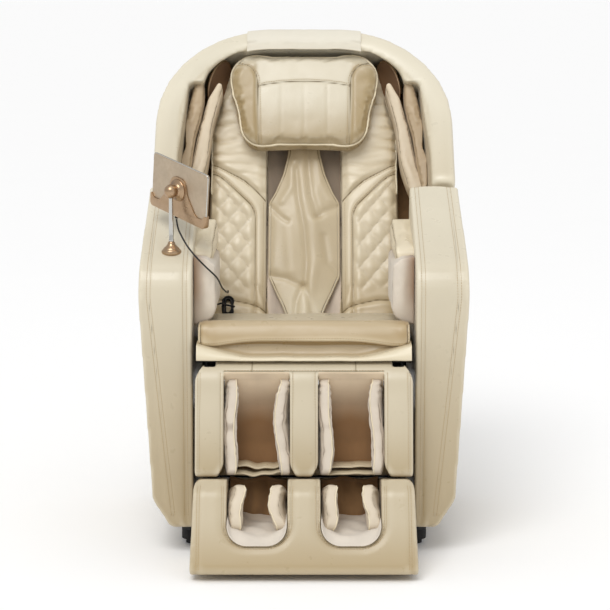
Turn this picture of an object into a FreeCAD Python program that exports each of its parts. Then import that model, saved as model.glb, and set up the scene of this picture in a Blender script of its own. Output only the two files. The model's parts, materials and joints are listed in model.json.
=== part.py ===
import FreeCAD, Part
import math
import os
import re
import Sketcher

# Massage chair, full size, millimetres.  +X is the sitter's left as seen from the front (right of the
# front view), -Y is the front, +Z is up.  Y is measured from the front face of the arms in the tables
# below and shifted by mid_depth, so that the part stands centred on the origin.

doc = FreeCAD.newDocument("MassageChair")
dims = doc.addObject("Spreadsheet::Sheet", "Dims")

DIMENSIONS = [
    # overall placing
    ("mid_depth", 341.6),
    # arms: front section
    ("arm_inner", 256), ("arm_wide", 378), ("arm_upper", 372), ("arm_waist", 350), ("arm_sole", 308),
    ("arm_base_z", 64), ("arm_chamfer_z", 130), ("arm_wide_z", 600), ("arm_over_z", 880),
    # arms: side profile
    ("arm_nose_z", 661), ("arm_crest_y", 350), ("arm_crest_z", 828), ("arm_tail_y", 408),
    ("arm_tail_z", 590), ("arm_back_y", 590), ("arm_back_z", 240), ("arm_round", 90),
    ("panel_thick", 22), ("rest_thick", 30), ("wall_thick", 12),
    # pivots
    ("recline_y", 470), ("recline_z", 400), ("recline_tilt", 25), ("lobe_radius", 200),
    ("hood_radius", 208), ("recline_pin", 12), ("leg_y", -10), ("leg_z", 405), ("leg_tilt", 12),
    ("leg_pin", 8), ("run_gap", 0.05),
    # seat
    ("seat_half", 247), ("seat_front_y", -12), ("seat_join_y", 62), ("seat_low_z", 455),
    ("seat_top_z", 530), ("seat_crest_z", 545), ("bolster_low_z", 468),
    # hood and back
    ("hood_half", 370), ("hood_top", 817), ("hood_corner", 285), ("hood_side", 59),
    ("hood_crown", 52), ("hood_back", 150), ("hood_wall", 20), ("front_foot_d", -283),
    ("front_foot_h", 351), ("front_top_d", -127), ("back_face", -62), ("pad_inner", 88),
    ("pad_outer", 245), ("pad_low", 40), ("pad_high", 640), ("rail_x", 95), ("rail_d", 45),
    ("rail_radius", 10), ("tube_inner", 195), ("tube_outer", 225),
    # pillow
    ("pillow_half", 199), ("pillow_low", 500), ("pillow_top", 752), ("pillow_front", -135),
    # leg and foot sections
    ("calf_front", 55), ("calf_back", 58), ("calf_low", 210), ("calf_well_x", 107),
    ("calf_well_half", 75), ("leg_wall", 8), ("leg_skin", 12), ("foot_half", 249),
    ("foot_high", 214), ("foot_low", 414), ("foot_well_x", 105), ("foot_well_half", 68),
    ("slide_x", 215), ("slide_radius", 8),
    # floor frame
    ("rail_low_z", 40), ("rail_high_z", 64), ("foot_x", 262), ("foot_front_y", 110),
    ("foot_rear_y", 560),
    # actuators
    ("rod_radius", 9), ("legrod_z", 312.3), ("backrod_x", -75), ("backrod_z", 294.5),
    # tablet holder
    ("stand_x", -306), ("stand_y", 80), ("ball_z", 839), ("ball_radius", 16), ("tablet_yaw", 50),
    ("tablet_tilt", 5), ("tablet_roll", 12), ("tablet_long", 205), ("tablet_high", 125),
    ("cable_radius", 2),
]
for row, (alias, value) in enumerate(DIMENSIONS, start=1):
    dims.set("A%d" % row, alias)
    dims.set("B%d" % row, str(value))
    dims.setAlias("B%d" % row, alias)
doc.recompute()

NODES = {}
ALIAS = re.compile(r"\b([a-z]+_[a-z_]+)\b")


def ex(value):
    """A number or a formula on the sheet's words, as a FreeCAD expression."""
    return ALIAS.sub(r"Dims.\1", str(value))


def val(value):
    """The same formula as a plain number, for first guesses."""
    result = dims.evalExpression(ex(value))
    return float(getattr(result, "Value", result))


def prism(plane, points, low, high):
    """A padded outline between two planes; points are (u, v) or (u, v, corner radius)."""
    body = doc.addObject("PartDesign::Body", "Body")
    sketch = body.newObject("Sketcher::SketchObject", "Outline")
    role = {"x": "YZ_Plane", "y": "XZ_Plane", "z": "XY_Plane"}[plane]
    datum = [f for f in body.Origin.OriginFeatures if f.Role == role][0]
    sketch.AttachmentSupport = [(datum, "")]
    sketch.MapMode = "FlatFace"
    count = len(points)
    flat = [FreeCAD.Vector(val(p[0]), val(p[1]), 0) for p in points]
    for i in range(count):
        sketch.addGeometry(Part.LineSegment(flat[i], flat[(i + 1) % count]))
    for i in range(count):
        sketch.addConstraint(Sketcher.Constraint("Coincident", i, 2, (i + 1) % count, 1))
    for i, point in enumerate(points):
        for kind, term, size in (("DistanceX", point[0], flat[i].x), ("DistanceY", point[1], flat[i].y)):
            index = sketch.addConstraint(Sketcher.Constraint(kind, -1, 1, i, 1, size))
            sketch.setExpression("Constraints[%d]" % index, ex(term))
    start = "-(%s)" % high if plane == "y" else str(low)
    sketch.setExpression("AttachmentOffset.Base.z", ex(start))
    pad = body.newObject("PartDesign::Pad", "Pad")
    pad.Profile = sketch
    pad.setExpression("Length", ex("(%s) - (%s)" % (high, low)))
    doc.recompute()
    axis = {"x": 0, "y": 1, "z": 2}[plane]
    radii = sorted({str(p[2]) for p in points if len(p) > 2})
    for radius in radii:
        tip = body.Tip
        corners = [flat[i] for i, p in enumerate(points) if len(p) > 2 and str(p[2]) == radius]
        names = []
        for number, edge in enumerate(tip.Shape.Edges, start=1):
            if len(edge.Vertexes) < 2 or edge.Curve.TypeId != "Part::GeomLine":
                continue
            a, b = [v.Point for v in edge.Vertexes]
            if abs(a[axis] - b[axis]) < 1e-6:
                continue
            spot = [a[k] for k in range(3) if k != axis]
            if any(math.hypot(spot[0] - c.x, spot[1] - c.y) < 1e-4 for c in corners):
                names.append("Edge%d" % number)
        fillet = body.newObject("PartDesign::Fillet", "Round")
        fillet.Base = (tip, names)
        fillet.setExpression("Radius", ex(radius))
        doc.recompute()
    return body


def box(x, y, z):
    """A box from three (low, high) spans."""
    solid = doc.addObject("Part::Box", "Box")
    for name, base, span in (("Length", "x", x), ("Width", "y", y), ("Height", "z", z)):
        solid.setExpression("Placement.Base." + base, ex(span[0]))
        solid.setExpression(name, ex("(%s) - (%s)" % (span[1], span[0])))
    return solid


def rod(axis, centre, radius, span):
    """A cylinder along one axis; centre holds the other two coordinates, in X, Y, Z order."""
    solid = doc.addObject("Part::Cylinder", "Rod")
    turn = {"x": (FreeCAD.Vector(0, 1, 0), 90), "y": (FreeCAD.Vector(1, 0, 0), -90),
            "z": (FreeCAD.Vector(0, 0, 1), 0)}[axis]
    solid.Placement = FreeCAD.Placement(FreeCAD.Vector(), FreeCAD.Rotation(*turn))
    terms = list(centre)
    terms.insert("xyz".index(axis), span[0])
    for name, term in zip("xyz", terms):
        solid.setExpression("Placement.Base." + name, ex(term))
    solid.setExpression("Radius", ex(radius))
    solid.setExpression("Height", ex("(%s) - (%s)" % (span[1], span[0])))
    return solid


def fuse(*parts):
    joined = doc.addObject("Part::MultiFuse", "Joined")
    joined.Shapes = list(parts)
    return joined


def common(*parts):
    shared = doc.addObject("Part::MultiCommon", "Shared")
    shared.Shapes = list(parts)
    return shared


def cut(base, *tools):
    for tool in tools:
        result = doc.addObject("Part::Cut", "Cut")
        result.Base = base
        result.Tool = tool
        base = result
    return base


def group(*parts):
    bundle = doc.addObject("Part::Compound", "Bundle")
    bundle.Links = list(parts)
    return bundle


FRAMES = {
    "base": ("-mid_depth", "0", "0"),
    "back": ("recline_y - mid_depth", "recline_z", "-recline_tilt"),
    "leg": ("leg_y - mid_depth", "leg_z", "-leg_tilt"),
}


def node(label, obj, frame="base"):
    """Puts a finished sub-part in its frame and lists it."""
    shift, lift, turn = FRAMES[frame]
    if obj.TypeId in ("Part::Box", "Part::Cylinder", "Part::Sphere", "Part::Cone"):
        obj = group(obj)
    obj.Placement = FreeCAD.Placement(FreeCAD.Vector(), FreeCAD.Rotation(FreeCAD.Vector(1, 0, 0), 1))
    obj.setExpression("Placement.Base.y", ex(shift))
    obj.setExpression("Placement.Base.z", ex(lift))
    obj.setExpression("Placement.Rotation.Angle", ex(turn))
    obj.Label = label
    NODES[label] = obj
    return obj


def mirrored(obj):
    """The mirror image of an object across the middle plane."""
    image = doc.addObject("Part::Mirroring", "Mirror")
    image.Source = obj
    image.Normal = FreeCAD.Vector(1, 0, 0)
    return image


def pair(stem, obj, frame="base"):
    """A sub-part on the +X side and its mirror image on the -X side."""
    left = mirrored(node(stem + "_right", obj, frame))
    left.Label = stem + "_left"
    NODES[left.Label] = left


def both(label, frame, *parts):
    """Like solids on the +X side and their mirror images, kept as one sub-part."""
    node(label, group(*(list(parts) + [mirrored(p) for p in parts])), frame)


def leg(points):
    """Leg-section points (forward, down) as sketch points (y, z)."""
    return [("-(%s)" % p[0], "-(%s)" % p[1]) + tuple(p[2:]) for p in points]


def span(low, high):
    """A (forward or down) span turned into the matching y or z span."""
    return ("-(%s)" % high, "-(%s)" % low)


# ---------------------------------------------------------------- arms
TAIL = [("arm_tail_y", "arm_tail_z"), ("recline_y", "recline_z"), ("arm_back_y", "arm_back_z"),
        ("arm_back_y", "arm_base_z")]
lower_profile = prism("x", [("0", "arm_base_z"), ("0", "600"), ("rest_thick", "600"),
                            ("rest_thick", "642", "60"), ("357.3", "798")] + TAIL, "250", "385")
lobe = rod("x", ("recline_y", "recline_z"), "lobe_radius", ("250", "385"))
arm_side = fuse(lower_profile, lobe)
slab = prism("y", [("arm_sole", "arm_base_z"), ("arm_waist", "arm_chamfer_z"), ("arm_wide", "arm_wide_z"),
                   ("arm_upper", "arm_over_z"), ("arm_upper - panel_thick", "arm_over_z"),
                   ("arm_wide - panel_thick", "arm_wide_z"), ("arm_waist - panel_thick", "arm_chamfer_z + 6"),
                   ("arm_sole - 25", "arm_base_z")], "-1", "680")
pair("side_panel", common(slab, arm_side))
core = prism("y", [("arm_inner", "arm_base_z"), ("arm_sole - 25", "arm_base_z"),
                   ("arm_waist - panel_thick", "arm_chamfer_z + 6"), ("arm_wide - panel_thick", "arm_wide_z"),
                   ("arm_upper - panel_thick", "arm_over_z"), ("arm_inner", "arm_over_z")], "-1", "680")
hollow_front = prism("y", [("arm_inner + wall_thick", "arm_base_z - 20"), ("arm_sole - 30", "arm_base_z - 20"),
                           ("arm_sole - 30", "arm_base_z"), ("arm_waist - 34", "arm_chamfer_z + 10"),
                           ("arm_wide - 36", "arm_wide_z"), ("arm_upper - 36", "arm_over_z"),
                           ("arm_inner + wall_thick", "arm_over_z")], "0", "640")
hollow_side = prism("x", [("wall_thick", "arm_base_z - 20"), ("wall_thick", "586"), ("44", "624"),
                          ("344", "770"), ("398", "560"), ("480", "380"), ("arm_back_y - 12", "232"),
                          ("arm_back_y - 12", "arm_base_z - 20")], "262", "350")
pair("arm_casing", cut(common(core, arm_side), common(hollow_front, hollow_side)))
rest_side = prism("x", [("0", "600"), ("0", "arm_nose_z", "arm_round"), ("arm_crest_y", "arm_crest_z"),
                        ("357.3", "798"), ("rest_thick", "642", "60"), ("rest_thick", "600")], "250", "385")
rest_front = prism("y", [("arm_inner", "560"), ("arm_wide - 1.7", "560"), ("arm_wide", "arm_wide_z"),
                         ("arm_upper", "arm_over_z"), ("arm_inner", "arm_over_z")], "-1", "400")
pair("armrest_pad", common(rest_side, rest_front))
both("arm_inner_pads", "base", prism("x", [("110", "666", "10"), ("110", "696", "14"), ("345", "803", "20"),
                                           ("376", "666", "20")], "218", "arm_inner"))
both("hip_airbags", "base", prism("y", [("arm_inner", "664"), ("236", "660", "8"), ("205", "548", "8"),
                                        ("214", "533", "5"), ("232", "533"), ("arm_inner", "612")],
                                  "64", "330"))

# ---------------------------------------------------------------- floor frame
frame_parts = []
for side in (-1, 1):
    edges = sorted(("%d * 245" % side, "%d * 285" % side), key=val)
    frame_parts.append(box(edges, ("70", "600"), ("rail_low_z", "rail_high_z")))
for low in ("90", "200", "560"):
    frame_parts.append(box(("-250", "250"), (low, low + " + 30"), ("rail_low_z", "rail_high_z")))
feet = []
for side in (-1, 1):
    for y in ("foot_front_y", "foot_rear_y"):
        collar = rod("z", ("%d * foot_x" % side, y), "28", ("12", "rail_low_z"))
        sole = rod("z", ("%d * foot_x" % side, y), "18", ("0", "14"))
        feet.append(fuse(collar, sole))
node("levelling_feet", group(*feet))
for side in (-1, 1):
    for x in (200, 232):
        spots = sorted((side * x, side * (x + 6)))
        arm = prism("x", [("590", "40"), ("590", "64"), ("612", "64", "6"), ("638", "48", "6"),
                          ("638", "26", "6"), ("612", "26", "6")], *spots)
        frame_parts.append(arm)
    spots = sorted((side * 200, side * 238))
    frame_parts.append(rod("x", ("626", "37"), "4", spots))
frame_parts.append(box(("-20", "20"), ("200", "230"), ("rail_high_z", "legrod_z - 20")))
frame_parts.append(box(("backrod_x - 20", "backrod_x + 20"), ("200", "230"), ("rail_high_z", "backrod_z - 20")))
node("base_frame", fuse(*frame_parts))
wheel = cut(rod("x", ("626", "37"), "30", ("208", "230")),
            rod("x", ("626", "37"), "4 + run_gap", ("207", "231")))
pair("transport_wheel", wheel)

# ---------------------------------------------------------------- seat
seat_tubes = []
for side in (-1, 1):
    tube = sorted((side * 200, side * 230))
    seat_tubes.append(box(tube, ("75", "410"), ("425", "450")))
    seat_tubes.append(box(sorted((side * 230, side * 256)), ("130", "160"), ("430", "450")))
    seat_tubes.append(box(sorted((side * 230, side * 256)), ("340", "370"), ("430", "450")))
    for low in ("90", "200"):
        seat_tubes.append(box(tube, (low, low + " + 30"), ("rail_high_z", "425")))
    hook = prism("x", [("120", "440"), ("75", "440"), ("leg_y", "leg_z + 14"), ("leg_y", "leg_z - 14"),
                       ("75", "leg_z - 8"), ("120", "425")], *sorted((side * 205, side * 225)))
    boss = rod("x", ("leg_y", "leg_z"), "14", sorted((side * 205, side * 225)))
    bore = rod("x", ("leg_y", "leg_z"), "leg_pin + run_gap", sorted((side * 200, side * 230)))
    seat_tubes.append(cut(fuse(hook, boss), bore))
for low in ("130", "380"):
    seat_tubes.append(box(("-200", "200"), (low, low + " + 30"), ("425", "450")))
seat_tubes.append(box(("-235", "235"), ("66", "412"), ("450", "seat_low_z")))
node("seat_frame", fuse(*seat_tubes))
node("seat_cushion", prism("x", [("seat_join_y", "seat_low_z"), ("seat_join_y", "seat_top_z"),
                                 ("439", "497", "12"), ("421", "seat_low_z")],
                           "-seat_half", "seat_half"))
node("seat_front_bolster", prism("x", [("seat_front_y", "bolster_low_z", "10"),
                                       ("seat_front_y", "seat_crest_z", "30"),
                                       ("seat_join_y", "seat_crest_z", "14"), ("seat_join_y", "bolster_low_z")],
                                 "-seat_half", "seat_half"))
node("seat_skirt", prism("x", [("seat_front_y", "489"), ("-26", "489"), ("-33", "466"), ("-24", "462"),
                               ("seat_front_y", "468")], "-seat_half", "seat_half"))

# ---------------------------------------------------------------- recline pivots, covers, power
posts = []
for side in (-1, 1):
    across = sorted((side * 236, side * 256))
    post = prism("x", [("445", "rail_high_z"), ("500", "rail_high_z"), ("496", "recline_z"),
                       ("444", "recline_z")], *across)
    eye = rod("x", ("recline_y", "recline_z"), "30", across)
    posts.append(post)
    posts.append(eye)
    posts.append(box(across, ("445", "500"), ("rail_high_z", "rail_high_z + 6")))
    posts.append(rod("x", ("recline_y", "recline_z"), "recline_pin", sorted((side * 206, side * 256))))
node("pivot_posts", fuse(*posts))
vents = [box(("-205", "-95"), ("585", "605"), ("%d" % z, "%d" % (z + 6))) for z in (160, 176, 192)]
inlet_hole = box(("98", "152"), ("585", "605"), ("96", "132"))
switch_hole = box(("54", "86"), ("585", "605"), ("100", "128"))
cover = box(("-arm_inner", "arm_inner"), ("590", "600"), ("rail_high_z", "226"))
node("rear_cover", cut(cover, fuse(*vents), inlet_hole, switch_hole))
supply = box(("-200", "-60"), ("440", "580"), ("rail_high_z", "170"))
inlet = cut(box(("98", "152"), ("560", "603"), ("96", "132")), box(("106", "144"), ("575", "604"), ("102", "126")))
blades = [box(("%d" % x, "%d" % (x + 6)), ("575", "596"), ("%d" % z, "%d" % (z + 3)))
          for x, z in ((110, 111), (134, 111), (122, 117))]
switch_case = cut(box(("54", "86"), ("570", "603"), ("100", "128")), box(("58", "82"), ("580", "604"), ("103", "125")))
node("power_supply", group(supply, fuse(inlet, *blades), switch_case))
rocker = prism("x", [("588", "104.5"), ("600", "104.5"), ("606", "114", "2"), ("600", "123.5"), ("588", "123.5")],
               "58.4", "81.6")
node("power_rocker", rocker)

# ---------------------------------------------------------------- actuators
leg_drive = fuse(rod("y", ("0", "legrod_z"), "20", ("120", "350")),
                 box(("-26", "26"), ("300", "350"), ("legrod_z - 26", "legrod_z + 26")))
node("legrest_actuator", cut(leg_drive, rod("y", ("0", "legrod_z"), "rod_radius + run_gap", ("110", "340"))))
back_drive = fuse(rod("y", ("backrod_x", "backrod_z"), "20", ("130", "380")),
                  box(("backrod_x - 26", "backrod_x + 26"), ("130", "178"), ("backrod_z - 26", "backrod_z + 26")))
node("recline_actuator", cut(back_drive, rod("y", ("backrod_x", "backrod_z"), "rod_radius + run_gap",
                                             ("190", "390"))))
leg_yoke = cut(box(("-15", "15"), ("39.5", "75.5"), ("legrod_z - 30", "legrod_z + 30")),
               box(("-16", "16"), ("46", "69"), ("legrod_z - 22", "legrod_z + 22")))
node("legrest_rod", fuse(leg_yoke, rod("y", ("0", "legrod_z"), "rod_radius", ("75", "330"))))
back_yoke = cut(box(("backrod_x - 8", "backrod_x + 8"), ("494", "530"), ("backrod_z - 24", "backrod_z + 24")),
                box(("backrod_x - 9", "backrod_x + 9"), ("501", "523"), ("backrod_z - 15", "backrod_z + 15")))
node("recline_rod", fuse(back_yoke, rod("y", ("backrod_x", "backrod_z"), "rod_radius", ("280", "495"))))

# ---------------------------------------------------------------- backrest (y is behind, z is up the back)
hood_outer = prism("y", [("-hood_half", "100"), ("hood_half", "100"), ("hood_half", "hood_top", "hood_corner"),
                         ("-hood_half", "hood_top", "hood_corner")], "-320", "170")
hood_inner = prism("y", [("-(hood_half - hood_side)", "90"), ("hood_half - hood_side", "90"),
                         ("hood_half - hood_side", "hood_top - hood_crown", "hood_corner"),
                         ("-(hood_half - hood_side)", "hood_top - hood_crown", "hood_corner")], "-330", "180")
hood_side = prism("x", [("front_foot_d", "front_foot_h"), ("front_top_d", "hood_top"),
                        ("front_top_d + 4.35", "hood_top + 13"), ("92", "hood_top + 13"),
                        ("hood_back", "600"), ("hood_back", "100"), ("-100", "100"), ("-134", "159")],
                  "-380", "380")
pivot_sweep = rod("x", ("0", "0"), "hood_radius", ("-390", "390"))
node("hood_shell", cut(common(cut(hood_outer, hood_inner), hood_side), pivot_sweep), "back")
shell_band = prism("x", [("206 * sin(40)", "206 * cos(40)"), ("hood_back", "158"), ("hood_back", "600"),
                         ("97", "812"), ("78", "807"), ("hood_back - hood_wall", "597"),
                         ("hood_back - hood_wall", "170"), ("200 * sin(38)", "200 * cos(38)")],
                   "-380", "380")
ARC = [38 + 11 * k for k in range(6)]
tail_points = [("206 * sin(%d)" % a, "206 * cos(%d)" % a) for a in ARC]
tail_points += [("200 * sin(%d)" % a, "200 * cos(%d)" % a) for a in reversed(ARC)]
tail = prism("x", tail_points, "-230", "230")
gate = rod("x", ("0", "0"), "200", ("-390", "390"))
node("back_shell", fuse(cut(common(hood_inner, shell_band), gate), tail), "back")
hatch = prism("y", [("-130", "250", "16"), ("130", "250", "16"), ("130", "430", "16"), ("-130", "430", "16")],
              "hood_back", "hood_back + 5")
grooves = [box(("-100", "100"), ("hood_back + 2", "hood_back + 6"), ("%d" % h, "%d" % (h + 6)))
           for h in (290, 306, 322, 338, 354, 370, 386)]
node("rear_hatch", cut(hatch, *grooves), "back")

frame_bits = []
for side in (-1, 1):
    tube = sorted(("%d * tube_inner" % side, "%d * tube_outer" % side), key=val)
    frame_bits.append(box(tube, ("0", "30"), ("-20", "680")))
    frame_bits.append(rod("x", ("0", "0"), "26", sorted((side * 205, side * 232))))
    frame_bits.append(box(sorted((side * 211, side * 311)), ("30", "60"), ("290", "320")))
    frame_bits.append(box(sorted((side * 195, side * 225)), ("30", "130"), ("300", "330")))
    frame_bits.append(box(sorted((side * 195, side * 225)), ("30", "130"), ("566", "596")))
    frame_bits.append(box(sorted((side * 80, side * 110)), ("0", "60"), ("10", "35")))
frame_bits.append(box(("-200", "200"), ("0", "30"), ("-15", "15")))
frame_bits.append(box(("-200", "200"), ("0", "60"), ("650", "680")))
lever_shape = [("-2", "22"), ("32", "22"), ("97", "-70", "9"), ("81", "-92", "9"), ("62", "-80", "9"),
               ("-2", "-22")]
frame_bits.append(prism("x", lever_shape, "backrod_x - 17", "backrod_x - 9"))
frame_bits.append(prism("x", lever_shape, "backrod_x + 9", "backrod_x + 17"))
frame_bits.append(rod("x", ("81", "-74"), "8", ("backrod_x - 17", "backrod_x + 17")))
bores = [rod("x", ("0", "0"), "recline_pin + run_gap", sorted((side * 190, side * 240))) for side in (-1, 1)]
node("back_frame", cut(fuse(*frame_bits), *bores), "back")
both("guide_rails", "back", rod("z", ("rail_x", "rail_d"), "rail_radius", ("35", "650")))
pair("back_pad", prism("y", [("pad_inner", "pad_low", "10"), ("pad_outer", "pad_low", "25"),
                             ("pad_outer", "560", "60"), ("205", "pad_high", "30"),
                             ("pad_inner", "pad_high", "4")], "back_face", "0"), "back")
node("head_pad", prism("y", [("-165", "645"), ("165", "645"), ("165", "725", "25"), ("-165", "725", "25")],
                       "-55", "0"), "back")
node("roller_cover", box(("-pad_inner", "pad_inner"), ("-38", "-35"), ("pad_low + 14", "645")), "back")
node("centre_flap", prism("y", [("-35", "62"), ("35", "62"), ("46", "200"), ("84", "300", "20"),
                                ("80", "400", "20"), ("38", "540", "20"), ("40", "645"), ("-40", "645"),
                                ("-38", "540", "20"), ("-80", "400", "20"), ("-84", "300", "20"),
                                ("-46", "200")], "-56", "-44"), "back")
shoulder_inner = prism("y", [("203", "624", "8"), ("228", "637", "8"), ("304", "376", "8"),
                             ("273", "366", "8")], "-138", "back_face")
shoulder_outer = prism("y", [("246", "618"), ("268", "622"), ("311", "480"), ("311", "374"),
                             ("306", "374"), ("276", "480")], "-150", "-70")
pair("shoulder_pads", group(shoulder_inner, shoulder_outer), "back")
disc = doc.addObject("Part::Cylinder", "Disc")
disc.Radius = 44
disc.Height = 10
tilt = FreeCAD.Rotation(FreeCAD.Vector(0, 0, 1), FreeCAD.Vector(-0.839, 0, -0.544))
disc.Placement = FreeCAD.Placement(FreeCAD.Vector(0, -22, 0), tilt)
disc.setExpression("Placement.Base.x", ex("hood_half - hood_side - hood_corner + 279 * 0.839"))
disc.setExpression("Placement.Base.z", ex("hood_top - hood_crown - hood_corner + 279 * 0.544"))
both("speaker_covers", "back", disc)
node("pillow_strap", prism("x", [("-150", "761"), ("-134", "823"), ("-20", "823"), ("-20", "hood_top + 0.3"),
                                 ("-127.6", "hood_top + 0.3"), ("-146.4", "761")], "-150", "150"), "back")

# ---------------------------------------------------------------- head pillow
node("pillow", prism("y", [("-pillow_half + 14", "pillow_low", "40"), ("pillow_half - 14", "pillow_low", "40"),
                           ("pillow_half", "620", "30"), ("pillow_half", "pillow_top", "128"),
                           ("-pillow_half", "pillow_top", "128"), ("-pillow_half", "620", "30")],
                     "pillow_front", "back_face - 0.5"), "back")

# ---------------------------------------------------------------- roller mechanism
plate = box(("-112", "112"), ("30", "58"), ("250", "370"))
plate_bores = [rod("z", ("%d * rail_x" % side, "rail_d"), "rail_radius + run_gap", ("240", "380"))
               for side in (-1, 1)]
ears = [box(sorted((side * 64, side * 74)), ("6", "30"), ("298", "322")) for side in (-1, 1)]
swing_pin = rod("x", ("16", "310"), "8", ("-74", "74"))
motors = [rod("x", ("86", "310"), "24", sorted((side * 6, side * 84))) for side in (-1, 1)]
motor_seat = box(("-70", "70"), ("58", "80"), ("292", "328"))
node("massage_carriage", fuse(cut(plate, *plate_bores), swing_pin, motor_seat, *(ears + motors)), "back")
arm_outline = [("-14", "384", "8"), ("-14", "398", "8"), ("10", "398", "8"), ("28", "318", "8"),
               ("28", "302", "8"), ("10", "222", "8"), ("-14", "222", "8"), ("-14", "236", "8"), ("0", "310")]
arm_bits = [rod("x", ("16", "310"), "12", ("-60", "60"))]
for side in (-1, 1):
    arm_bits.append(prism("x", arm_outline, *sorted((side * 44, side * 54))))
arm_holes = [rod("x", ("16", "310"), "8 + run_gap", ("-62", "62"))]
arm_holes += [rod("x", ("-2", h), "5 + run_gap", ("-60", "60")) for h in ("390", "230")]
node("massage_arms", cut(fuse(*arm_bits), *arm_holes), "back")
for label, h in (("rollers_upper", "390"), ("rollers_lower", "230")):
    balls = [rod("x", ("-2", h), "24", sorted((side * 14, side * 40))) for side in (-1, 1)]
    node(label, fuse(rod("x", ("-2", h), "5", ("-58", "58")), *balls), "back")

# ---------------------------------------------------------------- leg section (forward, down)
well_low = "calf_well_x - calf_well_half"
well_high = "calf_well_x + calf_well_half"
calf_bits = []
skin = span("calf_front - leg_skin", "calf_front")
deep = span("-calf_back", "calf_front")
length = span("0", "calf_low")
calf_bits.append(box(("-(%s)" % well_low, well_low), skin, length))
calf_bits.append(box(("-seat_half", "seat_half"), span("-calf_back", "8 - calf_back"), span("40", "calf_low")))
for side in (-1, 1):
    outer = sorted(("%d * (%s)" % (side, well_high), "%d * seat_half" % side), key=val)
    calf_bits.append(box(outer, skin, length))
    for low in (well_low + " - leg_wall", well_high, "seat_half - leg_wall"):
        wall = sorted(("%d * (%s)" % (side, low), "%d * (%s + leg_wall)" % (side, low)), key=val)
        calf_bits.append(box(wall, deep, length))
        if "seat_half" in low or low == well_high:
            calf_bits.append(rod("x", ("0", "0"), "20", wall))
cap = cut(rod("x", ("0", "0"), "calf_front", ("-seat_half", "seat_half")),
          rod("x", ("0", "0"), "calf_front - leg_skin", ("-260", "260")))
cap = common(cap, box(("-seat_half", "seat_half"), span("0", "calf_front + 1"), span("-calf_front - 1", "0")))
calf_bits.append(cap)
slots = [box(sorted((side * 198, side * 232)), span("-calf_front", "40"), span("-60", "0")) for side in (-1, 1)]
back_slots = [box(sorted((side * 198, side * 232)), span("-70", "-30"), span("-10", "100")) for side in (-1, 1)]
pin_bores = [rod("x", ("0", "0"), "leg_pin", sorted((side * 180, side * 250))) for side in (-1, 1)]
lever_slot = box(("-24", "24"), span("-70", "-40"), span("30", "130"))
sleeves = []
for side in (-1, 1):
    block = box(sorted((side * 203, side * 227)), span("8 - calf_back", "-24"), span("104", "204"))
    sleeves.append(cut(block, rod("z", ("%d * slide_x" % side, "36"), "slide_radius + run_gap",
                                  ("-215", "-100"))))
calf_hull = cut(fuse(*calf_bits), fuse(*slots), fuse(*back_slots), group(*pin_bores), lever_slot)
node("calf_shell", fuse(calf_hull, *sleeves), "leg")
lever = leg([("10", "10"), ("10", "120", "8"), ("-70", "100", "8"), ("-96", "80", "8"), ("-98", "56", "8"),
             ("-78", "46", "8"), ("-20", "10")])
levers = [cut(prism("x", lever, *sorted((side * 16, side * 24))),
              box(("-26", "26"), span("-70", "8 - calf_back"), span("0", "30"))) for side in (-1, 1)]
lever_pin = rod("x", ("82.8", "-64.6"), "8", ("-24", "24"))
hinge_pins = [rod("x", ("0", "0"), "leg_pin", sorted((side * 182, side * 247))) for side in (-1, 1)]
node("calf_levers", group(fuse(*(levers + [lever_pin])), *hinge_pins), "leg")
calf_back_cloth = box((well_low, well_high), span("8 - calf_back", "13 - calf_back"), span("44", "calf_low - 2"))
calf_sill = prism("x", leg([("6", "188", "6"), ("6", "208", "6"), ("13 - calf_back", "208"),
                            ("13 - calf_back", "192")]), well_low + " + 17", well_high + " - 17")
both("calf_linings", "leg", calf_back_cloth, calf_sill)
calf_flap = leg([("38", "14", "10"), ("38", "204", "10"), ("-42", "200", "10"), ("-42", "30", "10")])
both("calf_airbags", "leg", prism("x", calf_flap, well_low, well_low + " + 16"),
     prism("x", calf_flap, well_high + " - 16", well_high))

# ---------------------------------------------------------------- foot section
foot_block = prism("x", leg([("-75", "foot_high"), ("66", "foot_high", "24"), ("96", "244", "30"),
                             ("134", "foot_low", "16"), ("-75", "372", "12")]), "-foot_half", "foot_half")
well_front = prism("y", [("foot_well_x - foot_well_half", "-200"), ("foot_well_x + foot_well_half", "-200"),
                         ("foot_well_x + foot_well_half", "-360", "46"),
                         ("foot_well_x - foot_well_half", "-360", "46")], "-200", "62")
well_side = prism("x", leg([("-62", "200"), ("160", "200"), ("160", "361.5"), ("128", "354"), ("-62", "309")]),
                  "20", "190")
well_right = common(well_front, well_side)
well_left = mirrored(well_right)
trough = rod("x", ("-8", "-358"), "20", ("-178", "178"))
trunnion = rod("x", ("-8", "-358"), "6 + run_gap", ("-195", "195"))
slide_rods = [rod("z", ("%d * slide_x" % side, "36"), "slide_radius", ("-foot_high - 5", "-108"))
              for side in (-1, 1)]
node("foot_shell", fuse(cut(foot_block, well_right, well_left, trough, trunnion), *slide_rods), "leg")
node("foot_roller", fuse(rod("x", ("-8", "-358"), "6", ("-190", "190")),
                         *[rod("x", ("-8", "-358"), "15", ("%d" % x, "%d" % (x + 26)))
                           for x in (-146, -94, 68, 120)]), "leg")
foot_cloth = box(("foot_well_x - foot_well_half + 2", "foot_well_x + foot_well_half - 2"),
                 span("-62", "-58"), span("216", "304"))
sole_front = prism("y", [("foot_well_x - foot_well_half + 2", "-280"), ("foot_well_x + foot_well_half - 2", "-280"),
                         ("foot_well_x + foot_well_half - 2", "-359", "46"),
                         ("foot_well_x - foot_well_half + 2", "-359", "46")], "-140", "60")
sole_side = prism("x", leg([("-56", "302"), ("122", "344"), ("122", "352.4"), ("-56", "310.2")]), "20", "190")
both("foot_linings", "leg", foot_cloth, common(sole_front, sole_side))
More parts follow.
